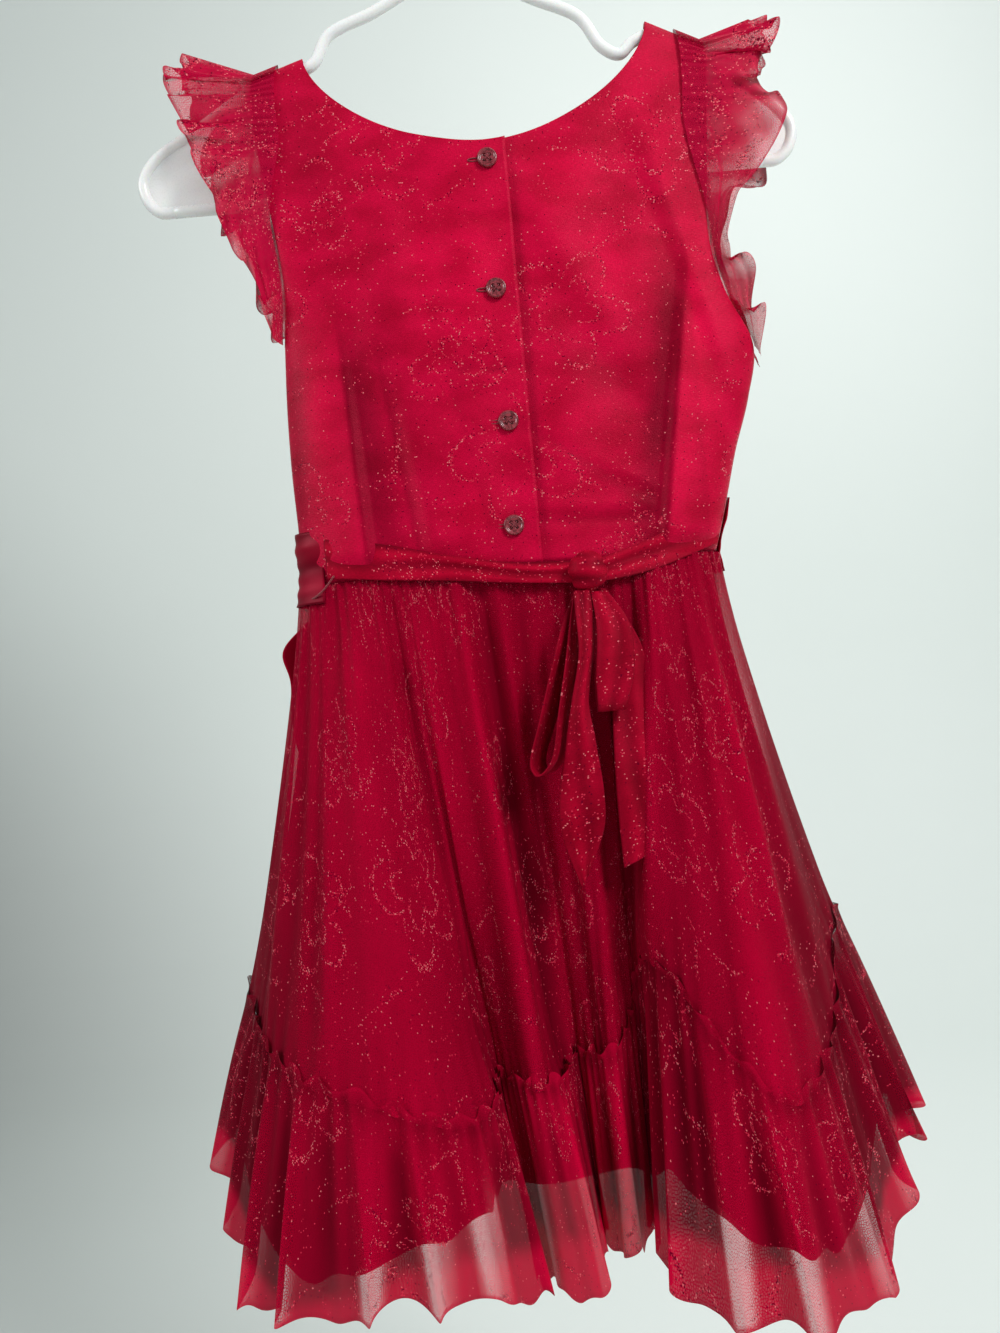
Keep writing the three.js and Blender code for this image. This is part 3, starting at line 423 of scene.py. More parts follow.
def add_surface(name, points, material, thickness=0, origin=(0, 0), uv=None, light=None,
                doubled=None, turned=False):
    """A grid of points as one sheet, with a uv map in metres along its two directions. Turned, its columns
    run the other way, so that its faces look outwards."""
    if turned:
        points, uv, light, doubled = (
            given if given is None else given[:, ::-1] for given in (points, uv, light, doubled))
    rows, columns = points.shape[0] - 1, points.shape[1] - 1
    faces = quads(rows, columns)
    piece = add_object(name, points.reshape(-1, 3), faces.tolist(), material)
    if uv is None:
        uv = np.stack(np.meshgrid(arc_lengths(points, 1), arc_lengths(points, 0)), -1)
    layer = piece.data.uv_layers.new(name="cloth")
    layer.data.foreach_set("uv", ((uv.reshape(-1, 2)[faces] * MM) + np.array(origin)).ravel())
    set_light(piece.data, light, doubled)
    if thickness:
        add_wall(piece, thickness)
    return piece


def add_patches(name, patches, material, thickness):
    """Grids of points that share an edge, as one sheet whose pattern follows x and z."""
    faces, start = [], 0
    for points in patches:
        faces.append(quads(points.shape[0] - 1, points.shape[1] - 1) + start)
        start += points.shape[0] * points.shape[1]
    faces = np.vstack(faces)
    vertices = np.vstack([points.reshape(-1, 3) for points in patches])
    piece = add_object(name, vertices, faces.tolist(), material)
    layer = piece.data.uv_layers.new(name="cloth")
    layer.data.foreach_set("uv", (vertices[:, [0, 2]][faces] * MM + 1).ravel())
    set_light(piece.data, None)
    weld(piece)
    add_wall(piece, thickness)
    return piece


def add_tube(name, path, radius, material, sides):
    """A round section carried along a path: it stands square to the path, on one axis that is square to a
    helper direction and one that is square to both, and each end closes in a low cone."""
    path = np.asarray(path, float)
    along = np.gradient(path, axis=0)
    along /= np.linalg.norm(along, axis=1, keepdims=True)
    helper = np.array([0.0, 1.0, 0.0]) if abs(along[:, 1]).max() < 0.9 else np.array([1.0, 0.0, 0.0])
    side = np.cross(along, helper)
    side /= np.linalg.norm(side, axis=1, keepdims=True)
    up = np.cross(side, along)
    angle = np.linspace(0, 2 * math.pi, sides, endpoint=False)
    ring = (path[:, None] + radius * (np.cos(angle)[None, :, None] * side[:, None]
                                      + np.sin(angle)[None, :, None] * up[:, None]))
    count = len(path)
    tip = radius * 0.5
    vertices = np.vstack([ring.reshape(-1, 3), path[:1] - along[:1] * tip, path[-1:] + along[-1:] * tip])
    start = (np.arange(count - 1)[:, None] * sides + np.arange(sides)).ravel()
    after = (np.arange(count - 1)[:, None] * sides + (np.arange(sides) + 1) % sides).ravel()
    faces = np.stack([start, after, after + sides, start + sides], -1).tolist()
    first, last = count * sides, count * sides + 1
    faces += [[(k + 1) % sides, k, first] for k in range(sides)]
    base = (count - 1) * sides
    faces += [[base + k, base + (k + 1) % sides, last] for k in range(sides)]
    return add_object(name, vertices, faces, material)


# ---------------------------------------------------------------- materials
class Nodes:
    """Places nodes in one tree. A value given for a socket is a number, a colour or another node's socket."""

    def __init__(self, tree):
        self.tree = tree

    def add(self, kind, inputs=(), **settings):
        made = self.tree.nodes.new(kind)
        for key, value in settings.items():
            setattr(made, key, value)
        for key, value in dict(inputs).items():
            if isinstance(value, bpy.types.NodeSocket):
                self.tree.links.new(value, made.inputs[key])
            else:
                made.inputs[key].default_value = value
        return made

    def feed(self, node, **sockets):
        """Links other nodes' sockets to a node's inputs, which are named in small letters here."""
        for key, value in sockets.items():
            self.tree.links.new(value, node.inputs[key.replace("_", " ").title()])

    def math(self, operation, a, b=0.0, c=0.0, clamp=False):
        return self.add("ShaderNodeMath", {0: a, 1: b, 2: c}, operation=operation, use_clamp=clamp).outputs[0]

    def vector(self, operation, a, b=(0, 0, 0)):
        made = self.add("ShaderNodeVectorMath", {0: a, 1: b}, operation=operation)
        return made.outputs["Value" if operation in ("LENGTH", "DISTANCE", "DOT_PRODUCT") else "Vector"]

    def noise(self, vector, scale, detail=2.0):
        inputs = {"Vector": vector, "Scale": scale, "Detail": detail, "Roughness": 0.5}
        return self.add("ShaderNodeTexNoise", inputs).outputs["Fac"]

    def cells(self, vector, scale, randomness, feature="F1"):
        """A flat Voronoi pattern's outputs."""
        inputs = {"Vector": vector, "Scale": scale, "Randomness": randomness}
        return self.add("ShaderNodeTexVoronoi", inputs, voronoi_dimensions="2D", feature=feature).outputs

    def bump(self, height, strength, distance=0.0004):
        inputs = {"Strength": strength, "Distance": distance, "Height": height}
        return self.add("ShaderNodeBump", inputs).outputs[0]

    def solid_place(self):
        return self.add("ShaderNodeTexCoord").outputs["Object"]

    def spread(self, value, low, high, to_low=0.0, to_high=1.0):
        """The value carried from low..high to to_low..to_high by a cubic, and held outside."""
        limits = {"From Min": low, "From Max": high, "To Min": to_low, "To Max": to_high}
        made = self.add("ShaderNodeMapRange", {"Value": value, **limits}, interpolation_type="SMOOTHSTEP")
        return made.outputs["Result"]

    def mix(self, share, a, b, blend="MIX"):
        made = self.add("ShaderNodeMix", data_type="RGBA", blend_type=blend)
        for index, value in ((0, share), (6, a), (7, b)):
            if isinstance(value, bpy.types.NodeSocket):
                self.tree.links.new(value, made.inputs[index])
            else:
                made.inputs[index].default_value = value
        return made.outputs[2]

    def stored(self, name):
        """A value stored at the points of the mesh."""
        return self.add("ShaderNodeAttribute", attribute_name=name).outputs["Fac"]

    def lit(self, colour):
        """The colour times the light stored in the mesh."""
        return self.mix(1.0, colour, self.stored("light"), "MULTIPLY")

    def stretched(self, vector, scale):
        return self.add("ShaderNodeMapping", {"Vector": vector, "Scale": scale}).outputs[0]


def new_group(name, inputs, outputs):
    """A node group with a vector input called Place, float inputs (name and value) and float outputs."""
    tree = bpy.data.node_groups.new(name, "ShaderNodeTree")
    tree.interface.new_socket("Place", in_out="INPUT", socket_type="NodeSocketVector")
    for key, value in inputs.items():
        socket = tree.interface.new_socket(key, in_out="INPUT", socket_type="NodeSocketFloat")
        socket.default_value = value
    for key in outputs:
        tree.interface.new_socket(key, in_out="OUTPUT", socket_type="NodeSocketFloat")
    nodes = Nodes(tree)
    return nodes, nodes.add("NodeGroupInput"), nodes.add("NodeGroupOutput")


# Cells or waves in each metre of cloth, how far the flowers' places are bent, in metres, and how unevenly the
# cells are set, from 0 to 1.
GLITTER_PATTERN = Sizes(
    flowers=9.5, flowers_loose=0.7, twigs=17.0, twig_gaps=16.0, worn=30.0, specks=1050.0, specks_loose=0.95,
    bend_waves=22.0, bend=0.009,
)
NET_PATTERN = Sizes(loose=0.9, patches=14.0)
SLUB_PATTERN = Sizes(threads=(420.0, 2600.0, 1.0), broad=(30.0, 46.0, 1.0), cross=(1500.0, 500.0, 1.0))


def glitter_group():
    """Glitter glued on in flowers, twigs and loose specks. A flower's outline is the radius
    size * (0.5 + 0.5 |cos 2.5a|) about a cell's middle, twigs follow the borders of smaller cells, and each
    speck is the middle of a tiny cell that is lit where its random number is below the density there."""
    nodes, given, result = new_group(
        "glitter_flowers", {"Loose": 0.05, "Drawn": 0.6, "Size": 0.034}, ("Mask", "Tone"))
    sizes = GLITTER_PATTERN
    place = given.outputs["Place"]
    bent = nodes.add("ShaderNodeTexNoise", {"Vector": place, "Scale": sizes.bend_waves, "Detail": 1.0})
    push = nodes.vector("SCALE", nodes.vector("SUBTRACT", bent.outputs["Color"], (0.5, 0.5, 0.5)))
    push.node.inputs["Scale"].default_value = sizes.bend
    place = nodes.vector("ADD", place, push)
    cells = nodes.cells(place, sizes.flowers, sizes.flowers_loose)
    local = nodes.vector("SUBTRACT", place, cells["Position"])
    parts = nodes.add("ShaderNodeSeparateXYZ", {0: local})
    flat = nodes.add("ShaderNodeCombineXYZ", {0: parts.outputs[0], 1: parts.outputs[1], 2: 0.0}).outputs[0]
    radius = nodes.vector("LENGTH", flat)
    chance = nodes.add("ShaderNodeSeparateColor", {0: cells["Color"]}).outputs
    angle = nodes.math("ARCTAN2", parts.outputs[1], parts.outputs[0])
    angle = nodes.math("MULTIPLY_ADD", chance[0], 6.0, angle)
    petal = nodes.math("ABSOLUTE", nodes.math("COSINE", nodes.math("MULTIPLY", angle, 2.5)))
    size = nodes.math("MULTIPLY", given.outputs["Size"], nodes.math("MULTIPLY_ADD", chance[1], 0.7, 0.65))
    rim = nodes.math("MULTIPLY", size, nodes.math("MULTIPLY_ADD", petal, 0.5, 0.5))
    drawn = None
    for share in (1.0, 0.55):
        away = nodes.math("ABSOLUTE", nodes.math("SUBTRACT", radius, nodes.math("MULTIPLY", rim, share)))
        line = nodes.spread(away, 0.0002, 0.0032, 1.0, 0.0)
        drawn = line if drawn is None else nodes.math("MAXIMUM", drawn, line)
    eye = nodes.spread(radius, 0.002, 0.006, 1.0, 0.0)
    drawn = nodes.math("MAXIMUM", drawn, nodes.math("MULTIPLY", eye, 0.8))
    borders = nodes.cells(place, sizes.twigs, 1.0, "DISTANCE_TO_EDGE")["Distance"]
    twig = nodes.math("MULTIPLY", nodes.spread(borders, 0.0, 0.05, 1.0, 0.0),
                      nodes.spread(nodes.noise(place, sizes.twig_gaps, 1.0), 0.5, 0.6))
    drawn = nodes.math("MAXIMUM", drawn, nodes.math("MULTIPLY", twig, 0.7))
    worn = nodes.spread(nodes.noise(place, sizes.worn), 0.34, 0.52)
    density = nodes.math("MULTIPLY_ADD", nodes.math("MULTIPLY", drawn, worn), given.outputs["Drawn"],
                         nodes.math("MULTIPLY", given.outputs["Loose"], worn))
    specks = nodes.cells(place, sizes.specks, sizes.specks_loose)
    tone = nodes.add("ShaderNodeSeparateColor", {0: specks["Color"]}).outputs
    lit = nodes.math("LESS_THAN", tone[0], density)
    dot = nodes.spread(specks["Distance"], 0.36, 0.5, 1.0, 0.0)
    nodes.feed(result, mask=nodes.math("MULTIPLY", lit, dot), tone=tone[1])
    return nodes.tree


def net_group():
    """The net of tulle: threads along the borders of small cells, and the softer and denser patches that
    the net has where it is pulled."""
    nodes, given, result = new_group("tulle_net", {"Hole": 0.0011}, ("Thread", "Patch"))
    place = given.outputs["Place"]
    scale = nodes.math("DIVIDE", 1.0, given.outputs["Hole"])
    borders = nodes.cells(place, scale, NET_PATTERN.loose, "DISTANCE_TO_EDGE")["Distance"]
    thread = nodes.spread(borders, 0.08, 0.22, 1.0, 0.0)
    nodes.feed(result, thread=thread, patch=nodes.noise(place, NET_PATTERN.patches, 3.0))
    return nodes.tree


def slub_group():
    """The weave of satin with net on it: fine level threads of uneven length, in noise stretched along u."""
    nodes, given, result = new_group("satin_slub", {"Fine": 1.0}, ("Height", "Tone"))
    place = given.outputs["Place"]
    threads = nodes.noise(nodes.stretched(place, SLUB_PATTERN.threads), 1.0)
    broad = nodes.noise(nodes.stretched(place, SLUB_PATTERN.broad), 1.0)
    cross = nodes.noise(nodes.stretched(place, SLUB_PATTERN.cross), 1.0, 1.0)
    height = nodes.math("ADD", threads, nodes.math("MULTIPLY", cross, 0.4))
    nodes.feed(result, height=nodes.math("MULTIPLY", height, given.outputs["Fine"]), tone=broad)
    return nodes.tree


GLITTER = glitter_group()
NET = net_group()
SLUB = slub_group()


def start_material(name, constants):
    """A material with one Principled shader, whose plain values are set on its own sockets."""
    material = bpy.data.materials.new(name)
    material.use_nodes = True
    material.node_tree.nodes.clear()
    nodes = Nodes(material.node_tree)
    shader = nodes.add("ShaderNodeBsdfPrincipled", constants)
    output = nodes.add("ShaderNodeOutputMaterial")
    nodes.tree.links.new(shader.outputs[0], output.inputs[0])
    return material, nodes, shader


def use_group(nodes, tree, place, **values):
    made = nodes.add("ShaderNodeGroup", node_tree=tree)
    nodes.tree.links.new(place, made.inputs["Place"])
    for key, value in values.items():
        made.inputs[key.title()].default_value = value
    return made.outputs


def cloth_place(nodes):
    return nodes.add("ShaderNodeUVMap", uv_map="cloth").outputs[0]


# Speck colours: a painted glint, a mild red and painted shade.
SPECK_GLINT = (0.80, 0.19, 0.21, 1)
SPECK_MILD = (0.66, 0.03, 0.07, 1)
SPECK_SHADED = (0.14, 0.0, 0.015, 1)
SPECK_ROUGHNESS = 0.22
RED_GLOSS = (1.0, 0.08, 0.16, 1)

# The darker and the lighter colour that each cloth is mixed from.
CLOTH_COLOURS = {
    "glitter_satin": ((0.44, 0.0008, 0.025, 1), (0.64, 0.002, 0.046, 1)),
    "folded_tulle": ((0.27, 0.0, 0.012, 1), (0.38, 0.001, 0.020, 1)),
    "crimson_satin": ((0.40, 0.0008, 0.022, 1), (0.52, 0.002, 0.034, 1)),
    "underskirt_satin": ((0.33, 0.0, 0.016, 1), (0.43, 0.0, 0.024, 1)),
    "skirt_tulle": ((0.36, 0.0, 0.020, 1), (0.50, 0.001, 0.032, 1)),
    "sleeve_tulle": ((0.42, 0.001, 0.030, 1), (0.56, 0.004, 0.050, 1)),
}


def grey(value):
    return (value, value, value, 1)


def speck_colour(nodes, glitter, dark_share):
    """Glitter specks in three colours, by each speck's random tone: a painted glint where one flashes, a mild
    red, and painted shade where one is seen from its dull side or at a slant.
    """
    bright = nodes.mix(nodes.spread(glitter["Tone"], 0.72, 0.86), SPECK_MILD, SPECK_GLINT)
    dull = nodes.math("LESS_THAN", glitter["Tone"], dark_share)
    return nodes.mix(dull, bright, SPECK_SHADED)


def glitter_satin(name, roughness, sheen, loose, drawn, fine):
    """Satin with glitter tulle sewn on it."""
    material, nodes, shader = start_material(name, {
        "Sheen Weight": sheen, "Sheen Roughness": 0.35, "Sheen Tint": RED_GLOSS,
        "Specular IOR Level": 0.3, "Specular Tint": RED_GLOSS})
    place = cloth_place(nodes)
    slub = use_group(nodes, SLUB, place, fine=1.0)
    glitter = use_group(nodes, GLITTER, place, loose=loose, drawn=drawn)
    cloth = nodes.lit(nodes.mix(nodes.spread(slub["Tone"], 0.25, 0.75), *CLOTH_COLOURS[name]))
    cloth = nodes.mix(1.0, cloth, nodes.spread(slub["Height"], 0.45, 0.95, 0.84, 1.14), "MULTIPLY")
    colour = nodes.mix(glitter["Mask"], cloth, speck_colour(nodes, glitter, 0.3))
    rough = nodes.mix(glitter["Mask"], grey(roughness), grey(SPECK_ROUGHNESS))
    nodes.feed(shader, base_color=colour, normal=nodes.bump(slub["Height"], fine), roughness=rough)
    return material


def plain_satin(name, roughness):
    material, nodes, shader = start_material(name, {
        "Sheen Weight": 0.05, "Sheen Roughness": 0.3, "Sheen Tint": RED_GLOSS,
        "Specular IOR Level": 0.4, "Specular Tint": RED_GLOSS, "Anisotropic": 0.4})
    place = cloth_place(nodes)
    slub = use_group(nodes, SLUB, place, fine=0.4)
    colour = nodes.lit(nodes.mix(nodes.spread(slub["Tone"], 0.25, 0.75), *CLOTH_COLOURS[name]))
    rough = nodes.spread(slub["Tone"], 0.2, 0.8, roughness - 0.04, roughness + 0.06)
    nodes.feed(shader, base_color=colour, normal=nodes.bump(slub["Height"], 0.08), roughness=rough)
    return material


def sheer_tulle(name, cover, thread_cover, loose, drawn, hole):
    """Net that lets the light through between its threads, with glitter glued on it."""
    material, nodes, shader = start_material(name, {
        "Sheen Weight": 0.06, "Sheen Roughness": 0.4, "Sheen Tint": RED_GLOSS,
        "Specular IOR Level": 0.15, "Specular Tint": RED_GLOSS})
    place = cloth_place(nodes)
    net = use_group(nodes, NET, place, hole=hole)
    glitter = use_group(nodes, GLITTER, place, loose=loose, drawn=drawn)
    cloth = nodes.lit(nodes.mix(net["Patch"], *CLOTH_COLOURS[name]))
    # More specks take the painted shade where the painted light is high, on net lit from behind.
    dark_share = nodes.spread(nodes.stored("light"), 0.9, 1.5, 0.3, 0.85)
    colour = nodes.mix(glitter["Mask"], cloth, speck_colour(nodes, glitter, dark_share))
    alpha = nodes.spread(net["Thread"], 0.0, 1.0, cover, thread_cover)
    alpha = nodes.math("MAXIMUM", alpha, glitter["Mask"])
    alpha = nodes.math("MULTIPLY_ADD", nodes.stored("doubled"), 0.42, alpha, clamp=True)
    rough = nodes.mix(glitter["Mask"], grey(0.72), grey(SPECK_ROUGHNESS))
    nodes.feed(shader, base_color=colour, alpha=alpha, roughness=rough)
    return material


def button_material():
    """Marbled shell-like plastic: two reds in swirls of bent noise, polished."""
    material, nodes, shader = start_material("marbled_button", {
        "Coat Weight": 0.35, "Coat Roughness": 0.1, "Roughness": 0.28})
    bend = {"Vector": nodes.solid_place(), "Scale": 260.0, "Detail": 2.0, "Distortion": 2.2}
    swirl = nodes.spread(nodes.add("ShaderNodeTexNoise", bend).outputs["Fac"], 0.38, 0.62)
    nodes.feed(shader, base_color=nodes.mix(swirl, (0.12, 0.004, 0.010, 1), (0.30, 0.030, 0.045, 1)))
    return material


def plastic_material():
    """White moulded plastic with a faint unevenness in its gloss."""
    material, nodes, shader = start_material("white_plastic", {
        "Coat Weight": 0.2, "Coat Roughness": 0.15, "Subsurface Weight": 0.15, "Subsurface Scale": 0.002})
    place = nodes.solid_place()
    blotch = nodes.noise(place, 60.0, 3.0)
    colour = nodes.mix(blotch, (0.91, 0.92, 0.91, 1), (0.96, 0.96, 0.95, 1))
    rough = nodes.spread(nodes.noise(place, 900.0, 2.0), 0.3, 0.7, 0.24, 0.36)
    nodes.feed(shader, base_color=colour, roughness=rough, normal=nodes.bump(blotch, 0.06, 0.0003))
    return material


def thread_material():
    material, nodes, shader = start_material("sewing_thread", {"Sheen Weight": 0.3})
    twist = nodes.noise(nodes.solid_place(), 4000.0, 1.0)
    colour = nodes.mix(twist, (0.14, 0.002, 0.010, 1), (0.30, 0.004, 0.022, 1))
    nodes.feed(shader, base_color=colour, roughness=nodes.spread(twist, 0.0, 1.0, 0.5, 0.75))
    return material


BACK_SATIN = glitter_satin("glitter_satin", roughness=0.40, sheen=0.06, loose=0.035, drawn=0.5, fine=0.5)
BELT_TULLE = glitter_satin("folded_tulle", roughness=0.55, sheen=0.08, loose=0.07, drawn=0.25, fine=0.2)
FRONT_SATIN = plain_satin("crimson_satin", roughness=0.38)
LINING_SATIN = plain_satin("underskirt_satin", roughness=0.44)
SKIRT_TULLE = sheer_tulle("skirt_tulle", cover=0.52, thread_cover=0.80, loose=0.035, drawn=0.66, hole=0.0014)
SLEEVE_TULLE = sheer_tulle("sleeve_tulle", cover=0.46, thread_cover=0.74, loose=0.16, drawn=0.9, hole=0.0009)
BUTTON_SHELL = button_material()
WHITE_PLASTIC = plastic_material()
THREAD = thread_material()


# ---------------------------------------------------------------- bodice
def round_profile(f):
    """Half depth of a rounded cross-section at the share f of its half width: a superellipse."""
    return (1 - np.minimum(np.abs(f), 1) ** SIDE_ROUNDNESS) ** (1 / SIDE_ROUNDNESS)


def side_x(on_left, row):
    """Where the side seam or armhole is, left or right, at a row of the sections."""
    return np.where(on_left, smooth_column(BODICE, "left_x", row), smooth_column(BODICE, "right_x", row))


def bodice_y(x, z, row, face):
    """Depth of the bodice's outer face, from the half depth at the height and the profile across."""
    f = (x - AXIS_X) / (side_x(x < AXIS_X, row) - AXIS_X)
    profile = lerp(round_profile(f), 1 - OPEN_BEND * f * f, smooth_column(BODICE, "open", row))
    strap = smoothstep(row, STRAP_SECTION - 1, STRAP_SECTION)
    by_height = np.interp(z, BODICE_DEPTHS["z"], BODICE_DEPTHS["depth"])
    return MID_Y + face * (SEAM_GAP / 2 + lerp(by_height, column(BODICE, "depth", row), strap) * profile)


def outer_edge(side, row):
    """Side seam and armhole at a row of the sections."""
    name = "left" if side < 0 else "right"
    return smooth_column(BODICE, f"{name}_x", row), smooth_column(BODICE, f"{name}_z", row)


def inner_edge(side, row, start_x, low_z):
    """Centre edge, then the neckline: a superellipse arc from the centre's top to the neck point."""
    neck_z = NECK.left_z if side < 0 else NECK.right_z
    power = 2 / NECK.power
    share = (start_x - AXIS_X) / NECK.half_width
    start = math.copysign(math.asin(abs(share) ** (1 / power)), share)
    angle = lerp(start, side * math.pi / 2, column(BODICE, "neck", row))
    x = AXIS_X + NECK.half_width * np.sign(angle) * np.abs(np.sin(angle)) ** power
    z = neck_z - (neck_z - low_z) * np.maximum(np.cos(angle), 0) ** power
    return x, np.where(row < NECK_SECTION, lerp(WAIST_Z, z, row / NECK_SECTION), z)


def panel_point(side, face, share, row, start_x, low_z):
    """A point of a bodice panel: share is 0 at the centre edge and 1 at the side, row climbs the sections."""
    inner_x, inner_z = inner_edge(side, row, start_x, low_z)
    outer_x, outer_z = outer_edge(side, row)
    x, z = lerp(inner_x, outer_x, share), lerp(inner_z, outer_z, share)
    return x, bodice_y(x, z, row, face), z


# Creases of the back: where each starts and ends, its half width and how far it stands out.
BACK_CREASES = (
    ((22, -391), (95, -437), 3, -1.6),
    ((26, -399), (92, -430), 5, 1.3),
    ((22, -447), (94, -450), 3, -1.4),
    ((24, -440), (92, -443), 5, 1.0),
    ((-4, -255), (22, -257), 2.5, -1.4),
    ((-4, -262), (22, -264), 3, 1.0),
    ((-20, -349), (24, -352), 2.2, -1.9),
    ((-18, -356), (22, -358), 3.5, 1.2),
    ((-2, -321), (20, -323), 2.2, -1.2),
    ((30, -230), (80, -340), 14, 1.8),
    ((-50, -190), (-16, -330), 16, -1.5),
    ((50, -300), (96, -390), 14, -1.6),
    ((-50, -410), (4, -372), 12, 1.2),
    ((-4, -270), (-10, -330), 18, 1.6),
    ((-40, -455), (10, -440), 9, 1.2),
    ((-66, -245), (-84, -330), 9, -1.2),
)

# Pressed folds, by the ends of their lines. The cloth outside a line stands out by the last number, and falls
# over a width to the cloth towards the middle. The last number also sets how strong the fold's painted shade
# is.
BACK_STEPS = (
    ((-92, -300), (-83, -470), 9, 5.0),
    ((-70, -318), (-50, -470), 12, 3.2),
    ((135, -280), (103, -470), 8, 5.2),
    ((-34, -300), (-4, -470), 24, 1.2),
    ((104, -180), (132, -280), 14, 2.0),
)

# Painted light and shade of the satin, in lighter and darker zones where it turns to the light: start, end,
# half width and change.
BACK_SHADE_ZONES = (
    ((-82, -335), (-64, -465), 15, -0.24),
    ((-103, -330), (-107, -450), 10, 0.10),
    ((121, -300), (104, -400), 9, -0.26),
    ((106, -380), (91, -465), 10, -0.24),
    ((134, -330), (116, -440), 10, 0.14),
    ((-4, -262), (-6, -330), 22, 0.12),
    ((-40, -446), (-6, -436), 15, 0.13),
    ((56, -215), (60, -255), 20, 0.14),
    ((80, -275), (96, -320), 16, 0.13),
    ((27.5, -215), (27.5, -465), 3, -0.25),
    ((-118, -320), (-124, -440), 6, -0.25),
    ((-30, -200), (-62, -330), 16, -0.12),
    ((40, -330), (86, -372), 14, -0.12),
    ((-110, -150), (-100, -230), 16, -0.18),
    ((132, -170), (142, -250), 10, -0.10),
    ((30, -395), (90, -440), 3, -0.22),
    ((-84, -180), (-100, -470), 30, -0.11),
    ((-30, -216), (-42, -300), 16, 0.10),
    ((24, -449), (92, -451), 3, -0.20),
    ((-18, -350), (22, -352), 2, -0.25),
)


def painted_back_light(x, z):
    """The satin's painted light and shade: 1, with its lighter and darker zones and the painted shade of its
    pressed folds added.
    """
    zones = sum(crease(x, z, *zone) for zone in BACK_SHADE_ZONES)
    folds = sum(fold_shade(x, z, start, end, height) for start, end, _, height in BACK_STEPS)
    return np.clip(1 + zones + folds, 0.4, 1.3)


def fold_shade(x, z, start, end, height):
    """The shade of a pressed fold: dark towards the middle from its line, and light just outside it."""
    inside = math.copysign(1, start[0]) * (np.interp(z, (end[1], start[1]), (end[0], start[0])) - x)
    grown = smoothstep(-z, -start[1] - 10, -start[1] + 60)
    dark = smoothstep(inside, -1.5, 1.5) * np.exp(-np.maximum(inside, 0) / 20)
    bright = smoothstep(-inside, 0, 3) * np.exp(-np.maximum(-inside, 0) / 9)
    return height * grown * (0.03 * bright - 0.075 * dark)


def step_fold(x, z, start, end, width, height):
    """A fold that rises over a width from the line towards the side, growing from its upper end downwards."""
    (x0, z0), (x1, z1) = start, end
    line_x = x0 + (x1 - x0) * (z - z0) / (z1 - z0)
    side = math.copysign(1, x0)
    grown = smoothstep(-z, -z0 - 20, -z0 + 0.7 * (z0 - z1))
    outside = side * (x - line_x)
    return height * grown * smoothstep(outside, -width, 0) * (1 - smoothstep(outside, 14, 60))


def back_relief(x, z):
    """Creases and pressed folds of the back added up, with the broad unevenness of hanging satin."""
    total = sum(crease(x, z, *one) for one in BACK_CREASES)
    total = total + sum(step_fold(x, z, *one) for one in BACK_STEPS)
    broad = 0.9 * np.sin(x / 23 + z / 61) * np.sin(z / 37 - x / 90)
    return total + broad + 0.5 * np.sin(x / 9 - z / 33) * np.sin(z / 51)


def add_bodice():
    """Back panels from centre edge to side seam and from waist to shoulder, and the front in two mirrored
    halves. The left back panel stands out where it laps over the right one, and more at its stitched edge."""
    u, v = grid(*GRIDS["bodice"])
    across, row = np.sin(u * math.pi / 2), v * LAST_SECTION
    steady = smoothstep(row, 0, 0.4) * (1 - smoothstep(row, LAST_SECTION - 2, LAST_SECTION))
    steady = steady * (1 - smoothstep(u, 0.9, 1))
    over, under = PLACKET.over_edge, PLACKET.under_edge
    for name, side, start_x in (("bodice_back_left", -1, over), ("bodice_back_right", 1, under)):
        x, y, z = panel_point(side, -1, across, row, start_x, NECK.back_low_z)
        if side < 0:
            y = y - PLACKET.lift * smoothstep(x, under - PLACKET.blend, under - 8)
            y = y - 0.3 * (1 - smoothstep(over - x, 0.4, 2.2)) * smoothstep(z, -480, -470)
        y = y - back_relief(x, z) * steady
        uv = np.stack(np.broadcast_arrays(x, z), -1)
        # The back's colour carries painted light and shade: lighter and darker zones and the shade of its
        # pressed folds.
        piece = add_surface(name + "_cloth", stack(x, y, z), BACK_SATIN, 0.9, (1, 1), uv,
                            painted_back_light(x, z), turned=side < 0)
        declare(piece, name)
    halves = []
    for side in (-1, 1):
        x, y, z = panel_point(side, 1, across, row, AXIS_X, NECK.front_low_z)
        y = y + 0.5 * np.sin(x / 19) * np.sin(z / 43 + x / 70) * steady
        halves.append(stack(x, y, z) if side < 0 else stack(x, y, z)[:, ::-1])
    piece = add_patches("bodice_front_cloth", halves, FRONT_SATIN, 0.9)
    declare(piece, "bodice_front")


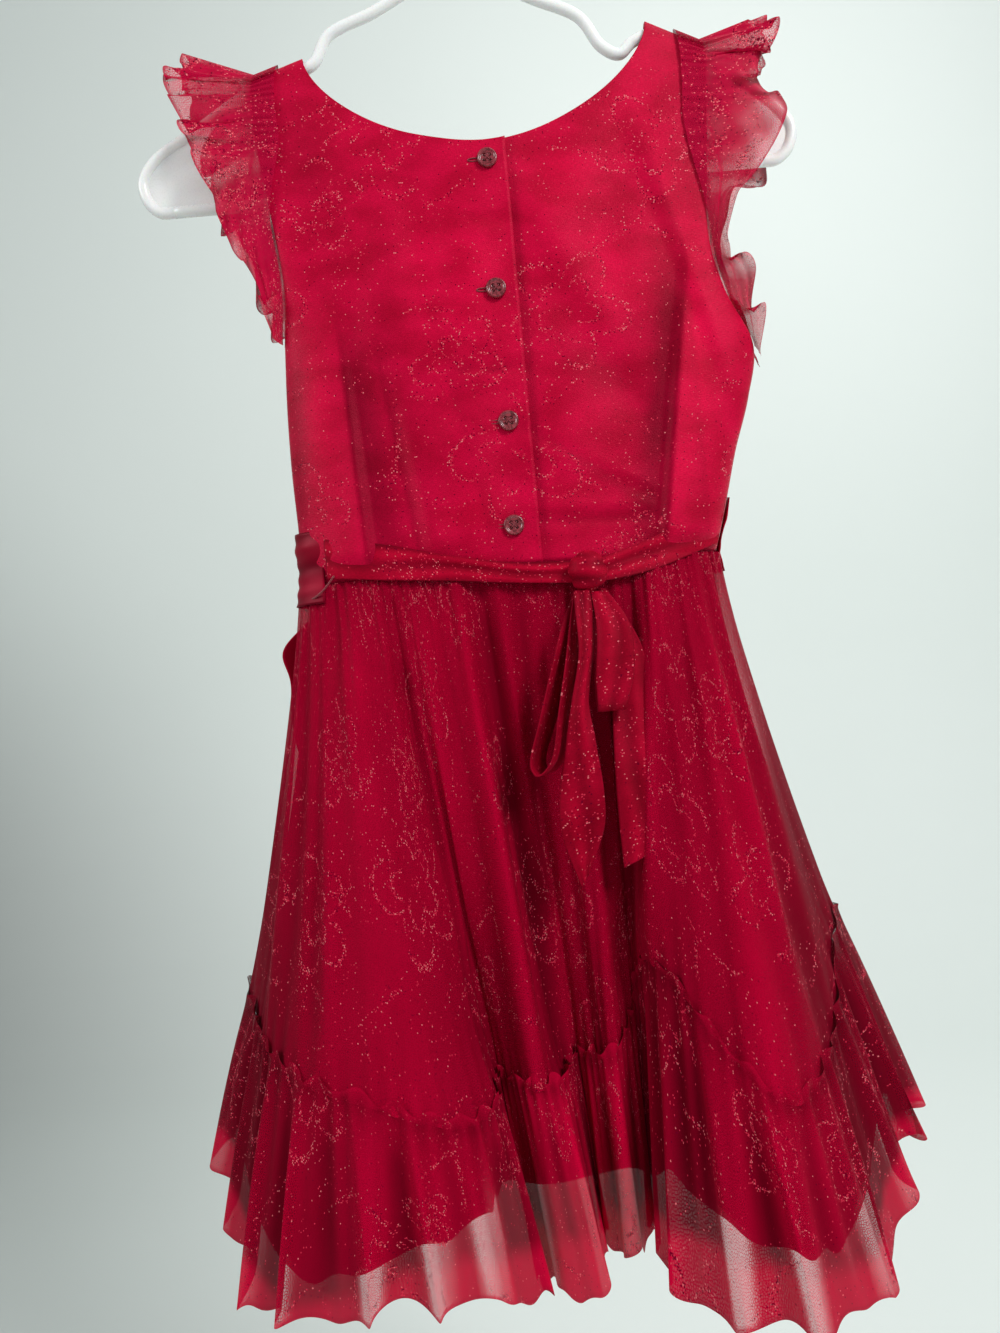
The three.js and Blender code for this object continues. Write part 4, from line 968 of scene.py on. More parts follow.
# ---------------------------------------------------------------- sleeves
def sleeve_points(side, s, v):
    """Frill round the armhole. s runs from the underarm of the back over the shoulder to that of the front.
    v runs from the band lying on the bodice to the free edge, in folds that grow outwards and lean over each
    other: both the depth and the shift along the armhole are waves of s, a quarter of a wave apart. Returns
    the painted light and shade and the share of doubled net too."""
    name = "left" if side < 0 else "right"
    face = np.where(s < 0.5, -1, 1)
    climb = 1 - np.abs(2 * s - 1)
    row = lerp(UNDERARM_SECTION, LAST_SECTION, climb)
    place = climb * (len(SLEEVE_SIZES["left_reach"]) - 1)
    on_cloth = smoothstep(row, NECK_SECTION, STRAP_SECTION - 1)
    share = SLEEVE.band_share
    outward = lerp(v, np.maximum((v - share) / (1 - share), 0), on_cloth)
    inward = SLEEVE.band * on_cloth * np.maximum(1 - v / share, 0)
    back_edge = PLACKET.over_edge if side < 0 else PLACKET.under_edge
    back = panel_at(side, -1, row, inward, back_edge, NECK.back_low_z)
    front = panel_at(side, 1, row, inward, AXIS_X, NECK.front_low_z)
    x, y, z = (np.where(face < 0, a, b) for a, b in zip(back, front))
    top = smoothstep(climb, 0.8, 1)
    phase = 2 * math.pi * SLEEVE.folds * s + 2.6 * uneven(s, 3, 40 + side)
    fold = np.cos(phase)
    small = 1.5 * uneven(s, 26, 5 + side) + 0.5 * uneven(s, 47, 9 + side)
    crumple = SLEEVE.crumple * np.sin(37 * s * (1 + v) + 9 * v) * np.sin(9 * v + 70 * s) * outward
    stand = SLEEVE.stand + (SLEEVE.spread + SLEEVE.fold_depth * (0.5 + 0.5 * fold)) * outward
    gathers = SLEEVE.gathers * uneven(s, 60, 3) * (1 - outward) * on_cloth
    stand = stand + (small + crumple) * outward * (1 - top) + gathers
    reach = outward * smooth_column(SLEEVE_SIZES, f"{name}_reach", place) * (1 + 0.06 * fold)
    x = x + side * (reach + SLEEVE.set_off * (1 - on_cloth) + 1.2 * uneven(s, 13, 21 + side) * outward**2)
    y = y + face * stand * (1 - top)
    sideways = SLEEVE.overlap * np.sin(phase) * outward**1.3 * (1 - top)
    z = z + outward * smooth_column(SLEEVE_SIZES, f"{name}_rise", place) + sideways
    x = x - face * side * 0.4 * sideways
    z = z + top * (SLEEVE.shoulder_lift + 4 * (0.5 + 0.5 * fold) * outward) + small * top * outward
    # Painted light and shade: lighter on the folds' crests and darker between them, darker near the band. The
    # free edge is drawn darker too.
    light = 1.10 + 0.16 * fold * outward + 0.05 * crumple - 0.22 * (1 - smoothstep(outward, 0, 0.35))
    light = light - 0.3 * smoothstep(v, 0.97, 0.99)
    doubled = np.clip(0.45 - 0.8 * fold - 0.15 * crumple, 0, 1) * smoothstep(outward, 0, 0.25)
    doubled = doubled + (1 - outward) * 0.5
    doubled = doubled + 0.8 * smoothstep(v, 0.97, 0.99) + 0.6 * np.exp(-(((v - share) / 0.02) ** 2))
    return stack(x, y, z), light, np.clip(doubled, 0, 1)


def panel_at(side, face, row, inward, start_x, low_z):
    """The bodice at a distance inward from its armhole."""
    inner_x, _ = inner_edge(side, row, start_x, low_z)
    outer_x, _ = outer_edge(side, row)
    return panel_point(side, face, 1 - inward / np.abs(outer_x - inner_x), row, start_x, low_z)


def add_sleeves():
    s, v = grid(*GRIDS["sleeve"])
    for name, side in (("sleeve_left", -1), ("sleeve_right", 1)):
        points, light, doubled = sleeve_points(side, s, v)
        piece = add_surface(name + "_frill", points, SLEEVE_TULLE, origin=(3 + side, 2),
                            light=light, doubled=doubled, turned=side > 0)
        declare(piece, name)


# ---------------------------------------------------------------- skirt
def skirt_folds(back, front, flare):
    """A layer's folds as two closed curves of points, round the waist and round the hem."""
    waist_x = np.concatenate([back["waist_x"], front["waist_x"]])
    count = len(back["waist_x"])
    half = np.where(waist_x < AXIS_X, AXIS_X - back["waist_x"][0], front["waist_x"][0] - AXIS_X)
    face = np.where(np.arange(len(waist_x)) < count, -1, 1)
    depth = BODICE["depth"][0] * round_profile((waist_x - AXIS_X) / half)
    join = lambda name: np.concatenate([back[name], front[name]])
    folds = dict(flare=flare, right_seam=count / len(waist_x))
    folds["waist"] = stack(waist_x, MID_Y + face * depth, np.full(len(waist_x), WAIST_Z - SEAM_GAP))
    folds["hem"] = stack(join("hem_x"), join("hem_y"), join("hem_z"))
    if "seam_z" in back:
        folds["heights"] = stack(np.arange(len(waist_x)), join("ease"), join("seam_z"))
    return folds


def fold_points(folds, s, t, distance):
    """Points of a layer at shares s round it and t down it, moved out level by a distance: the line from
    waist to hem, opening with t to the power of the flare."""
    top, bottom = spline(folds["waist"], s, True), spline(folds["hem"], s, True)
    opened = np.maximum(t, 0)[..., None] ** folds["flare"]
    points = lerp(top, bottom, opened)
    points[..., 2] = lerp(WAIST_Z - SEAM_GAP, bottom[..., 2], t)
    step = 1e-4
    ahead = lerp(spline(folds["waist"], s + step, True), spline(folds["hem"], s + step, True), opened)
    behind = lerp(spline(folds["waist"], s - step, True), spline(folds["hem"], s - step, True), opened)
    along = ahead - behind
    out = stack(along[..., 1], -along[..., 0], np.zeros(t.shape))
    out /= np.linalg.norm(out, axis=-1, keepdims=True)
    return points + out * np.asarray(distance)[..., None]


TULLE_FOLDS = skirt_folds(TULLE_BACK, TULLE_FRONT, TULLE_FLARE)
LINING_FOLDS = skirt_folds(LINING_BACK, LINING_FRONT, LINING_FLARE)


def seam_share(s):
    """Share of the way down to the hem at which the ruffle is sewn on."""
    seam_z = spline(TULLE_FOLDS["heights"], s, True, tension=0.4)[..., 2]
    return (WAIST_Z - seam_z) / (WAIST_Z - spline(TULLE_FOLDS["hem"], s, True)[..., 2])


def skirt_halves(folds, columns, rows):
    """For the back and the front: name, shares s round and v up on a grid."""
    for half, start, end in (("back", 0, folds["right_seam"]), ("front", folds["right_seam"], 1)):
        u, v = grid(round(columns * (end - start)), rows)
        yield half, lerp(start + HALF_STEP, end - HALF_STEP, u), v


# Long folds of the back's net: start, end, half width, how far each stands out and its change of painted
# light and shade.
SKIRT_LINES = (
    ((-72, -490), (-66, -551), 5, -3.0, -0.25),
    ((-66, -540), (-38, -766), 8, -5.0, -0.32),
    ((-28, -485), (-5, -780), 6, 5.0, 0.16),
    ((-17, -485), (7, -790), 7, -6.0, -0.46),
    ((9, -490), (8, -690), 5, -3.0, -0.35),
    ((37, -640), (32, -800), 4, -3.0, -0.40),
    ((80, -484), (54, -720), 6, -4.0, -0.42),
    ((93, -485), (64, -720), 7, 4.5, 0.16),
    ((107, -505), (102, -790), 7, -4.0, -0.24),
    ((138, -560), (127, -780), 14, 2.5, 0.20),
    ((147, -533), (182, -713), 5, -2.5, -0.16),
    ((-109, -498), (-133, -740), 7, -3.0, -0.16),
    ((-104, -520), (-112, -700), 13, 2.0, 0.14),
    ((-48, -500), (-45, -700), 11, 2.5, 0.14),
    ((-88, -560), (-80, -760), 9, -2.0, -0.10),
)
STAND, PAINTED_LIGHT = 3, 4  # places of the last two numbers of a long fold


def skirt_lines(points, column_index):
    """The long folds added up at the points' x and z, where the skirt faces backwards: stand or painted light
    and shade.
    """
    x, z = points[..., 0], points[..., 2]
    behind = 1 - smoothstep(points[..., 1], -18, 6)
    return behind * sum(crease(x, z, *line[:3], line[column_index], 0.12) for line in SKIRT_LINES)


def valley_light(points, s, depth=46, darkest=0.60):
    """Painted shade where the skirt goes in between its large folds, where the light falls off."""
    stand = -points[..., 1] if s[0, 0] < 0.4 else points[..., 1]
    return 1 - darkest * sunk(stand, round(0.045 / abs(s[0, 1] - s[0, 0])), depth)


def add_skirt_layer(layer, points, uv, light, doubled=None):
    """One half of a layer, with its pattern running on round the skirt as on the flat cloth."""
    name = layer + "_cloth"
    if doubled is None:
        piece = add_surface(name, points, LINING_SATIN, 0.6, (0, 3), uv, light)
    else:
        piece = add_surface(name, points, SKIRT_TULLE, 0, (0, 3), uv, light, doubled)
    declare(piece, layer)


def add_skirt():
    """The underskirt, with ripples and the troughs of the long folds, and the net over it, with fine gathers
    at the waist, soft folds in between and a pull towards the ruffle's seam."""
    waves = LINING_WAVES
    for half, s, v in skirt_halves(LINING_FOLDS, *GRIDS["lining"]):
        t = 1 - v
        ripple = waves.at_waist * uneven(s, 41, 2) * np.exp(-3.5 * t)
        ripple = ripple + waves.at_hem * uneven(s, 17, 6) * t
        hem_turn = 0.4 * np.exp(-(((t - 0.965) / 0.006) ** 2))
        distance = lerp(0, -waves.inset, v) + ripple * 0.6 - 0.5 - hem_turn
        points = fold_points(LINING_FOLDS, s, t, distance)
        troughs = waves.trough * smoothstep(-skirt_lines(points, STAND), 0, 3)
        points = fold_points(LINING_FOLDS, s, t, distance - troughs)
        points[..., 2] += waves.hem_rise * uneven(s, 19, 8) * t**6
        # Painted shade in the valleys between the large folds, with the painted light and shade of the long
        # folds.
        light = valley_light(points, s) * (1 + 0.8 * skirt_lines(points, PAINTED_LIGHT))
        uv = np.stack([s * waves.around, v * waves.down], -1)
        add_skirt_layer(f"skirt_lining_{half}", points, uv, light)
    waves = NET_WAVES
    for half, s, v in skirt_halves(TULLE_FOLDS, *GRIDS["net"]):
        t = seam_share(s) * (1 - v)
        gathers = waves.fine * uneven(s, 96, 11) * np.exp(-11 * t)
        gathers = gathers + waves.gathers * uneven(s, 47, 12) * np.exp(-4 * t)
        long_folds = 0.6 * np.sin(2 * math.pi * 19 * s + 2 * np.sin(9 * s)) + uneven(s, 27, 14)
        drape = waves.drape * np.sin(math.pi * np.clip(v, 0, 1) ** 0.8) * long_folds
        near_seam = np.exp(-(1 - t / seam_share(s)) * 11)
        pull = waves.pull * uneven(s, 90, 15) * near_seam
        distance = TULLE_OFFSET + waves.clear + gathers + drape + pull * 0.6
        points = fold_points(TULLE_FOLDS, s, t, distance)
        distance = distance + skirt_lines(points, STAND)
        points = fold_points(TULLE_FOLDS, s, t, distance)
        # Painted light and shade: lighter on the crests of the long folds, gathers and pull, darker in the
        # valleys, along the long folds and just below the waist. Where it is darkest, the net is also drawn
        # as lying double.
        light = 1 + 0.10 * long_folds * smoothstep(t, 0.02, 0.2) + 0.05 * gathers + 0.10 * pull
        light = light * (1 + skirt_lines(points, PAINTED_LIGHT)) * valley_light(points, s)
        light = light * (1 - 0.22 * np.exp(-22 * t))
        uv = np.stack([s * waves.around, v * waves.down], -1)
        add_skirt_layer(f"skirt_tulle_{half}", points, uv, light, 1 - smoothstep(light, 0.4, 1.0))


def add_ruffle():
    """The ruffle from its hem to the top of its header. Distance out and height of the waves follow the share
    down, and the waves turn from close gathers at the seam into wide flares at the hem, which is uneven."""
    sizes = RUFFLE_WAVES
    header_share = sizes.header_share
    for half, s, v in skirt_halves(TULLE_FOLDS, *GRIDS["ruffle"]):
        seam = seam_share(s)
        hem = spline(TULLE_FOLDS["hem"], s, True)
        drop = WAIST_Z - hem[..., 2]
        ease = np.clip(spline(TULLE_FOLDS["heights"], s, True, tension=0.4)[..., 1], 0.2, 1)
        above = np.clip((v - (1 - header_share)) / header_share, 0, 1)
        fall = np.clip(1 - v / (1 - header_share), 0, 1)
        header = RUFFLE.header * (0.9 + 0.5 * uneven(s, 57, 33))
        down = lerp(seam, 1, fall) - above * header / drop
        out = lerp(lerp(RUFFLE.at_seam, RUFFLE.at_hem, fall), RUFFLE.at_header, above)
        phase = 2 * math.pi * RUFFLE.waves * s + 1.7 * uneven(s, 9, 38)
        height = 0.8 + 0.45 * uneven(s, 11, 37)
        main = np.sin(phase) * height
        second = uneven(s, 83, 31) * np.sin(math.pi * np.clip(fall * 0.75 + 0.1, 0, 1))
        tight = uneven(s, 120, 32) * np.exp(-fall * 5) * (1 - above)
        frilled = uneven(s, 84, 35) * above
        waves = main * lerp(sizes.at_seam, sizes.at_hem, fall**0.8) + sizes.second * second
        distance = out + (waves * ease + sizes.tight * tight) * (1 - above) + sizes.frill * frilled
        edge = smoothstep(np.minimum(s - s.min(), s.max() - s), 0, 0.01)
        lean = sizes.lean * np.cos(phase) * height * fall * ease * edge
        points = fold_points(TULLE_FOLDS, s + lean, down, distance)
        cut = sizes.cut * uneven(s, 64, 36) + sizes.sweep * uneven(s, 23, 39) * edge
        points[..., 2] += cut * fall**4
        # Painted light and shade: lighter on the waves' crests and on the header, darker in the valleys, at
        # the seam and along the hem. Where no satin lies behind, the net is painted lighter, as if lit from
        # behind. The valleys are also drawn as net lying double.
        valley = valley_light(points, s)
        light = valley * (1 + (0.42 * main * smoothstep(fall, 0, 0.3) + 0.16 * second) * (1 - above)
                          + 0.16 * tight + 0.1 * frilled)
        at_seam = np.exp(-((fall / 0.05) ** 2)) * (1 - above)
        light = light * (0.94 - 0.2 * at_seam) + 0.12 * above
        satin_hem = np.interp(points[..., 0], LINING_BACK["hem_x"], LINING_BACK["hem_z"])
        bare = smoothstep(satin_hem - points[..., 2], -3, 8)
        ridge = smoothstep(main + 0.35 * second, -0.5, 0.6)
        light = lerp(light, (1.15 + 0.35 * ridge) * lerp(0.85, 1, valley), bare)
        light = light - 0.25 * smoothstep(fall, 0.99, 1)
        middle = smoothstep(points[..., 0], -45, -20) * (1 - smoothstep(points[..., 0], 66, 84))
        middle = middle * (1 - smoothstep(points[..., 1], -30, 0))
        doubled = 1 - valley + (0.9 - ridge) * smoothstep(fall, 0.05, 0.3) + 0.85 * middle
        doubled = np.clip(doubled + smoothstep(fall, 0.985, 1), 0, 1)
        uv = np.stack([s * sizes.around, v * sizes.down], -1)
        add_skirt_layer(f"hem_ruffle_{half}", points, uv, light, doubled)


# ---------------------------------------------------------------- sash, belt and bow
def waist_points(f, z, face, clearance):
    """Points outside the waist at the share f of the half width and a height near the waist seam: the
    bodice's section there, moved out level along its normal."""
    low_z = np.where(face < 0, NECK.back_low_z, NECK.front_low_z)

    def place(share):
        edge_z = np.where(share < 0, BODICE["left_z"][1], BODICE["right_z"][1])
        height = lerp((low_z - WAIST_Z) / NECK_SECTION, edge_z - WAIST_Z, np.abs(share))
        row = np.maximum((z - WAIST_Z) / height, 0)
        x = AXIS_X + np.abs(share) * (side_x(share < 0, row) - AXIS_X)
        return stack(x, bodice_y(x, z, row, face), z)

    along = place(np.minimum(f + 1e-3, 1)) - place(np.maximum(f - 1e-3, -1))
    out = stack(-face * along[..., 1], face * along[..., 0], np.zeros(f.shape))
    out /= np.linalg.norm(out, axis=-1, keepdims=True)
    return place(f) + out * np.asarray(clearance)[..., None]


def add_sash():
    """The satin sash round the front, gathered in soft lengthwise folds."""
    u, v = grid(*GRIDS["sash"])
    turn = lerp(-(math.pi - math.asin(-SASH.back_end)), math.pi / 2, u)
    face = np.where(turn < -math.pi / 2, -1, 1)
    z = lerp(SASH.bottom_z, SASH.top_z, v)
    z = z + 1.6 * np.sin(9 * turn + 1) * smoothstep(v, 0.6, 1) * smoothstep(turn, -1, 0)
    clearance = SASH.clearance + WAIST_SPREAD * np.maximum(WAIST_Z - z, 0)
    folds = SASH.depth * (0.5 - 0.5 * np.cos(2 * math.pi * SASH.folds * v))
    fine = 0.5 * np.sin(2 * math.pi * (5 * v + 0.4 * np.sin(3 * turn))) * (0.6 + 0.4 * np.sin(7 * turn))
    points = waist_points(np.sin(turn), z, face, clearance + folds + fine * 0.7 + 0.2)
    # Painted light and shade: lighter and darker across the soft folds, and darker where the sash turns round
    # to the back.
    light = 0.72 + 0.22 * np.cos(2 * math.pi * SASH.folds * v + math.pi) + 0.1 * fine
    light = light * lerp(0.62, 1, smoothstep(turn, -2, -1))
    piece = add_surface("front_sash_cloth", points, FRONT_SATIN, 0.8, (5, 1), light=light,
                        turned=True)
    declare(piece, "front_sash")


def add_sash_tail():
    """The sash's end, which hangs from the left side seam over the net, with one corner turned out."""
    u, v = grid(*GRIDS["sash_tail"])
    z = lerp(SASH_TAIL.end_z, SASH_TAIL.start_z, v)
    hem_z = spline(TULLE_FOLDS["hem"], np.zeros(1), True)[0, 2]
    t = (WAIST_Z - z) / (WAIST_Z - hem_z)
    bulge = np.sin(math.pi * v)
    s = -lerp(SASH_TAIL.near * (1 - 0.5 * bulge), SASH_TAIL.far, u)
    lift = SASH_TAIL.lift + SASH_TAIL.bulge * bulge * (1 - u)
    lift = lift + 0.7 * np.sin(2 * math.pi * (1.5 * u + v)) * bulge
    points = fold_points(TULLE_FOLDS, s, t, lift)
    corner = np.exp(-(((z - SASH_TAIL.corner_z) / 16) ** 2)) * (1 - u)
    points[..., 0] -= SASH_TAIL.corner * corner
    points[..., 2] += SASH_TAIL.slant * u * (1 - v)
    piece = add_surface("front_sash_tail_cloth", points, FRONT_SATIN, 0.8, (5, 2), turned=True)
    declare(piece, "front_sash_tail")


def add_belt(name, start_row, end_row):
    """A stretch of the belt on the back of the waist, with lengthwise folds that deepen towards the knot."""
    u, v = grid(*GRIDS[name])
    row = lerp(start_row, end_row, u)
    width, x = smooth_column(BELT_PATH, "width", row), smooth_column(BELT_PATH, "x", row)
    z = smooth_column(BELT_PATH, "z", row) + width * (v - 0.5)
    edge = np.where(x < AXIS_X, BODICE["left_x"][0], BODICE["right_x"][0])
    f = np.clip((x - AXIS_X) / np.abs(edge - AXIS_X), -BELT.side_limit, BELT.side_limit)
    lap = PLACKET.lift * (1 - smoothstep(x, KNOT.x, KNOT.x + 60))
    narrow = 1 - smoothstep(width, 14, 24)
    wave, middle = np.sin(2 * math.pi * (1.6 * v + 0.15 * np.sin(x / 17))), np.sin(math.pi * v)
    clearance = BELT.clearance + lap + (0.35 + 0.7 * narrow) * wave * middle + 0.3
    clearance = clearance + WAIST_SPREAD * np.maximum(WAIST_Z - z, 0)
    points = waist_points(f, z, -np.ones(f.shape), clearance)
    # Painted light and shade: lighter on the crests of the lengthwise folds, darker towards the edges.
    light = 1 + 0.3 * wave - 0.3 * (1 - middle) ** 2
    piece = add_surface(name + "_cloth", points, BELT_TULLE, 1.0, (6, start_row),
                        light=light)
    declare(piece, name)


def add_ribbon(name, rows, cut=0):
    """A hanging ribbon: a smooth line through the rows of its table, whose width turns about the vertical
    and carries two soft lengthwise folds."""
    u, v = grid(*GRIDS["ribbon"])
    share = 1 - v
    row = share * (len(rows["x"]) - 1)
    turn = np.radians(smooth_column(rows, "turn", row))
    aside = (u - 0.5) * smooth_column(rows, "width", row)
    points = spline(stack(rows["x"], rows["y"], rows["z"]), share)
    wave = np.sin(2 * math.pi * (1.5 * u + 0.3 * np.sin(5 * share))) * np.sin(math.pi * u)
    depth = RIBBON_FOLD * wave
    points[..., 0] += aside * np.cos(turn) + depth * np.sin(turn)
    points[..., 1] += aside * np.sin(turn) - depth * np.cos(turn)
    points[..., 2] += cut * (u - 0.5) * share**4
    # Painted light and shade: lighter on the folds' crests, darker towards the edges and next to the knot.
    light = 0.95 + 0.25 * wave - 0.15 * (2 * u - 1) ** 2 - 0.3 * (1 - smoothstep(share, 0, 0.12))
    piece = add_surface(name + "_cloth", points, BELT_TULLE, 0.9, (7, len(name) * 0.37),
                        light=light)
    declare(piece, name)


def add_knot():
    """The knot: an ellipsoid drawn in along slanting folds, as a ribbon wrapped once round it."""
    u, v = grid(*GRIDS["knot"])
    turn, climb = 2 * math.pi * u, math.pi * v
    wrap = 0.045 * np.sin(5 * climb + 1.6 * np.cos(turn)) + 0.03 * np.sin(9 * climb - 1.2 * np.sin(turn))
    radius = 0.97 + wrap * np.sin(climb)
    x = KNOT.x + KNOT.half_width * radius * np.sin(climb) * np.cos(turn)
    y = KNOT.y + KNOT.half_depth * radius * np.sin(climb) * np.sin(turn)
    z = KNOT.z - KNOT.half_height * radius * np.cos(climb)
    # Painted light and shade: lighter on the ridges of the wrapped folds, darker in their hollows.
    light = 0.95 + 5 * wrap
    points = stack(x, y, z)
    piece = add_surface("belt_knot_cloth", points, BELT_TULLE, 0, (8, 1), light=light)
    weld(piece)
    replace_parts(piece, "belt_knot")


# ---------------------------------------------------------------- buttons and stitches
def button_slope(x, z):
    """Depth of the lapped back at a button, and the tilt of the cloth there."""
    row_height = (NECK.back_low_z - WAIST_Z) / NECK_SECTION

    def cloth_y(height):
        row = np.array((height - WAIST_Z) / row_height)
        return bodice_y(np.array(float(x)), height, row, -1) - PLACKET.lift

    low, high = cloth_y(z - BUTTON.radius), cloth_y(z + BUTTON.radius)
    return float(cloth_y(z)) - 1.5 * SEAM_GAP, math.atan2(float(high - low), 2 * BUTTON.radius)


def add_buttons():
    """Each button is a height over a disc: a flat back, a rounded rim, a dished face and four round holes
    through which two threads cross. Radius and angle are the grid's two directions."""
    edge, bevel = BUTTON.radius, BUTTON.bevel
    radii = np.concatenate([np.linspace(0, 3.6, 34), np.linspace(3.75, edge, 14)])
    angle = np.linspace(0, 2 * math.pi, 73)
    r, a = np.meshgrid(radii, angle)
    rounding = np.sqrt(np.clip(1 - ((r - (edge - bevel)) / bevel).clip(0, 1) ** 2, 0, 1))
    dish = BUTTON.dish * (1 - smoothstep(r, edge - BUTTON.rim - bevel, edge - bevel))
    height = (BUTTON.thickness - bevel) + bevel * rounding - dish
    px, pz = r * np.cos(a), r * np.sin(a)
    spacing = BUTTON.hole_spacing
    hole = BUTTON.hole_radius
    for sx in (-1, 1):
        for sz in (-1, 1):
            away = np.hypot(px - sx * spacing, pz - sz * spacing)
            height = height - BUTTON.hole_depth * (1 - smoothstep(away, hole - 0.18, hole + 0.12))
    face = stack(px, -height, pz)
    rim = stack(px[:, -1:], 0 * px[:, -1:], pz[:, -1:])
    middle = np.zeros_like(rim)
    local = np.concatenate([face, rim, middle], axis=1)
    for number, (x, z) in enumerate(BUTTON_PLACES, 1):
        y, slope = button_slope(x, z)
        cos, sin = math.cos(slope), math.sin(slope)
        tilt = np.array([[1, 0, 0], [0, cos, sin], [0, -sin, cos]])
        points = local @ tilt.T + np.array([x, y, z])
        piece = add_surface(f"button_{number}_shell", points, BUTTON_SHELL)
        weld(piece)
        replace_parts(piece, f"button_{number}")
        t = np.linspace(-1, 1, 14)
        thread_y = -(BUTTON.thickness - BUTTON.dish + 0.5 * (1 - t**4))
        for letter, sign in (("a", -1), ("b", 1)):
            line = stack(t * spacing, thread_y, sign * t * spacing) @ tilt.T + np.array([x, y, z])
            add_tube(f"button_{number}_thread_{letter}", line, BUTTON.thread_radius, THREAD, 8)


def add_stitches():
    """The thread loop that carries the belt at the left side, and the stitched end of each buttonhole."""
    share = np.linspace(0, 1, 30)
    arc = np.sin(math.pi * share)
    x = lerp(CARRIER.start_x, CARRIER.end_x, share)
    z = lerp(CARRIER.start_z, CARRIER.end_z, share) - CARRIER.sag * arc
    f = np.clip((x - AXIS_X) / (AXIS_X - BODICE["left_x"][0]), -0.98, 0)
    y = waist_points(f, z, -np.ones(share.shape), CARRIER.stand + CARRIER.bow * arc)[..., 1]
    add_tube("belt_carrier_thread", stack(x, y, z), CARRIER.radius, THREAD, 8)
    angle = np.linspace(0, 2 * math.pi, 40)
    for number, (button_x, button_z) in enumerate(BUTTON_PLACES, 1):
        y, _ = button_slope(button_x, button_z)
        x = button_x - HOLE_END.aside + HOLE_END.half_width * np.cos(angle)
        z = button_z + HOLE_END.half_height * np.sin(angle)
        loop = stack(x, y - HOLE_END.stand, z)
        add_tube(f"buttonhole_{number}_stitch", loop, HOLE_END.radius, THREAD, 6)


# ---------------------------------------------------------------- hanger
def add_hanger():
    """Round tubes along smooth curves in the hanger's plane, with a thin web in each end whose inner edge is
    a quadratic arc."""
    flat = lambda pairs: np.array([(x, MID_Y, z) for x, z in pairs], float)
    radius = HOOK.inner_radius + TUBE_RADIUS
    bend = np.radians(np.linspace(HOOK.neck_angle, HOOK.tip_angle, HOOK.bends + 1))
    points = [(0, HOOK.neck_z), (0, HOOK.neck_z + HOOK.neck_length)]
    points += list(zip(radius * np.cos(bend), radius * np.sin(bend) - HOOK.inner_radius))
    add_hanger_tube("hanger_hook", spline(flat(points), np.linspace(0, 1, 160)), TUBE_RADIUS)
    for name, rows, side in (("hanger_arm_left", LEFT_ARM, -1), ("hanger_arm_right", RIGHT_ARM, 1)):
        add_hanger_tube(name, spline(flat(rows), np.linspace(0, 1, 260)), TUBE_RADIUS)
        add_web(name + "_web", rows, side)
    x, z = LEFT_ARM[-1]
    add_hanger_tube("hanger_bar", np.linspace((x, MID_Y, z), (-x, MID_Y, z), 60), TUBE_RADIUS - 0.02)


def add_hanger_tube(name, path, radius):
    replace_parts(add_tube(name + "_tube", path, radius, WHITE_PLASTIC, 28), name)


def add_web(name, rows, side):
    """A plate between two lines: the hanger's outline round its end, and the web's concave inner edge."""
    share = np.linspace(0, 1, 48)
    first = (len(rows) - END_WEB.spans_back) / (len(rows) - 1)
    outline = spline([(x, 0, z) for x, z in rows], np.linspace(first, 1, 400))[:, [0, 2]]
    start = (side * END_WEB.arm_x, END_WEB.arm_z)
    nearest = np.argmin(np.hypot(*(outline - start).T))
    outer = outline[nearest:]
    outer = np.vstack([outer, (side * END_WEB.bar_x, rows[-1][1])])
    lengths = np.concatenate([[0], np.cumsum(np.hypot(*np.diff(outer, axis=0).T))])
    outer = np.stack([np.interp(share * lengths[-1], lengths, outer[:, k]) for k in (0, 1)], -1)
    bar_end = np.array([side * END_WEB.bar_x, rows[-1][1] + TUBE_RADIUS])
    belly = np.array([side * END_WEB.belly_x, END_WEB.belly_z])
    t = share[:, None]
    inner = (1 - t) ** 2 * np.array(start) + 2 * t * (1 - t) * belly + t**2 * bar_end
    half = END_WEB.thickness / 2
    loop = [(inner, -half), (outer, -half), (outer, half), (inner, half), (inner, -half)]
    points = np.stack([stack(edge[:, 0], np.full(48, MID_Y + y), edge[:, 1]) for edge, y in loop], 0)
    web = add_surface(name, points, WHITE_PLASTIC, turned=side > 0)
    web.data.shade_flat()


def declare(piece, solid):
    """Hides the solid that a cloth replaces."""
    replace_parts(piece, solid)


# ---------------------------------------------------------------- stage
# The backdrop in metres: a floor below the hem, a wall behind, the bend between them, its length and width.
BACKDROP = Sizes(front_y=-3.0, floor_z=-1.35, wall_y=2.4, bend=0.9, run=10.0, width=9)

# Area lights: where each is and aims in metres, its side in metres and its power in watts.
LIGHTS = (
    ("soft_key", (1.4, -1.6, 1.1), (0, 0, -0.40), 0.8, 44),
    ("soft_fill", (-1.9, -0.8, 0.5), (0, 0, -0.4), 0.9, 17),
    ("wall_light", (0.9, 0.6, 1.3), (0.6, 2.3, 0.1), 1.2, 16),
)
WORLD = Sizes(colour=(0.80, 0.86, 0.86, 1), strength=0.42)
CAMERA = Sizes(place=(-0.007, -0.706, -0.536), lens=29.54, sensor=36, roll=math.radians(5))


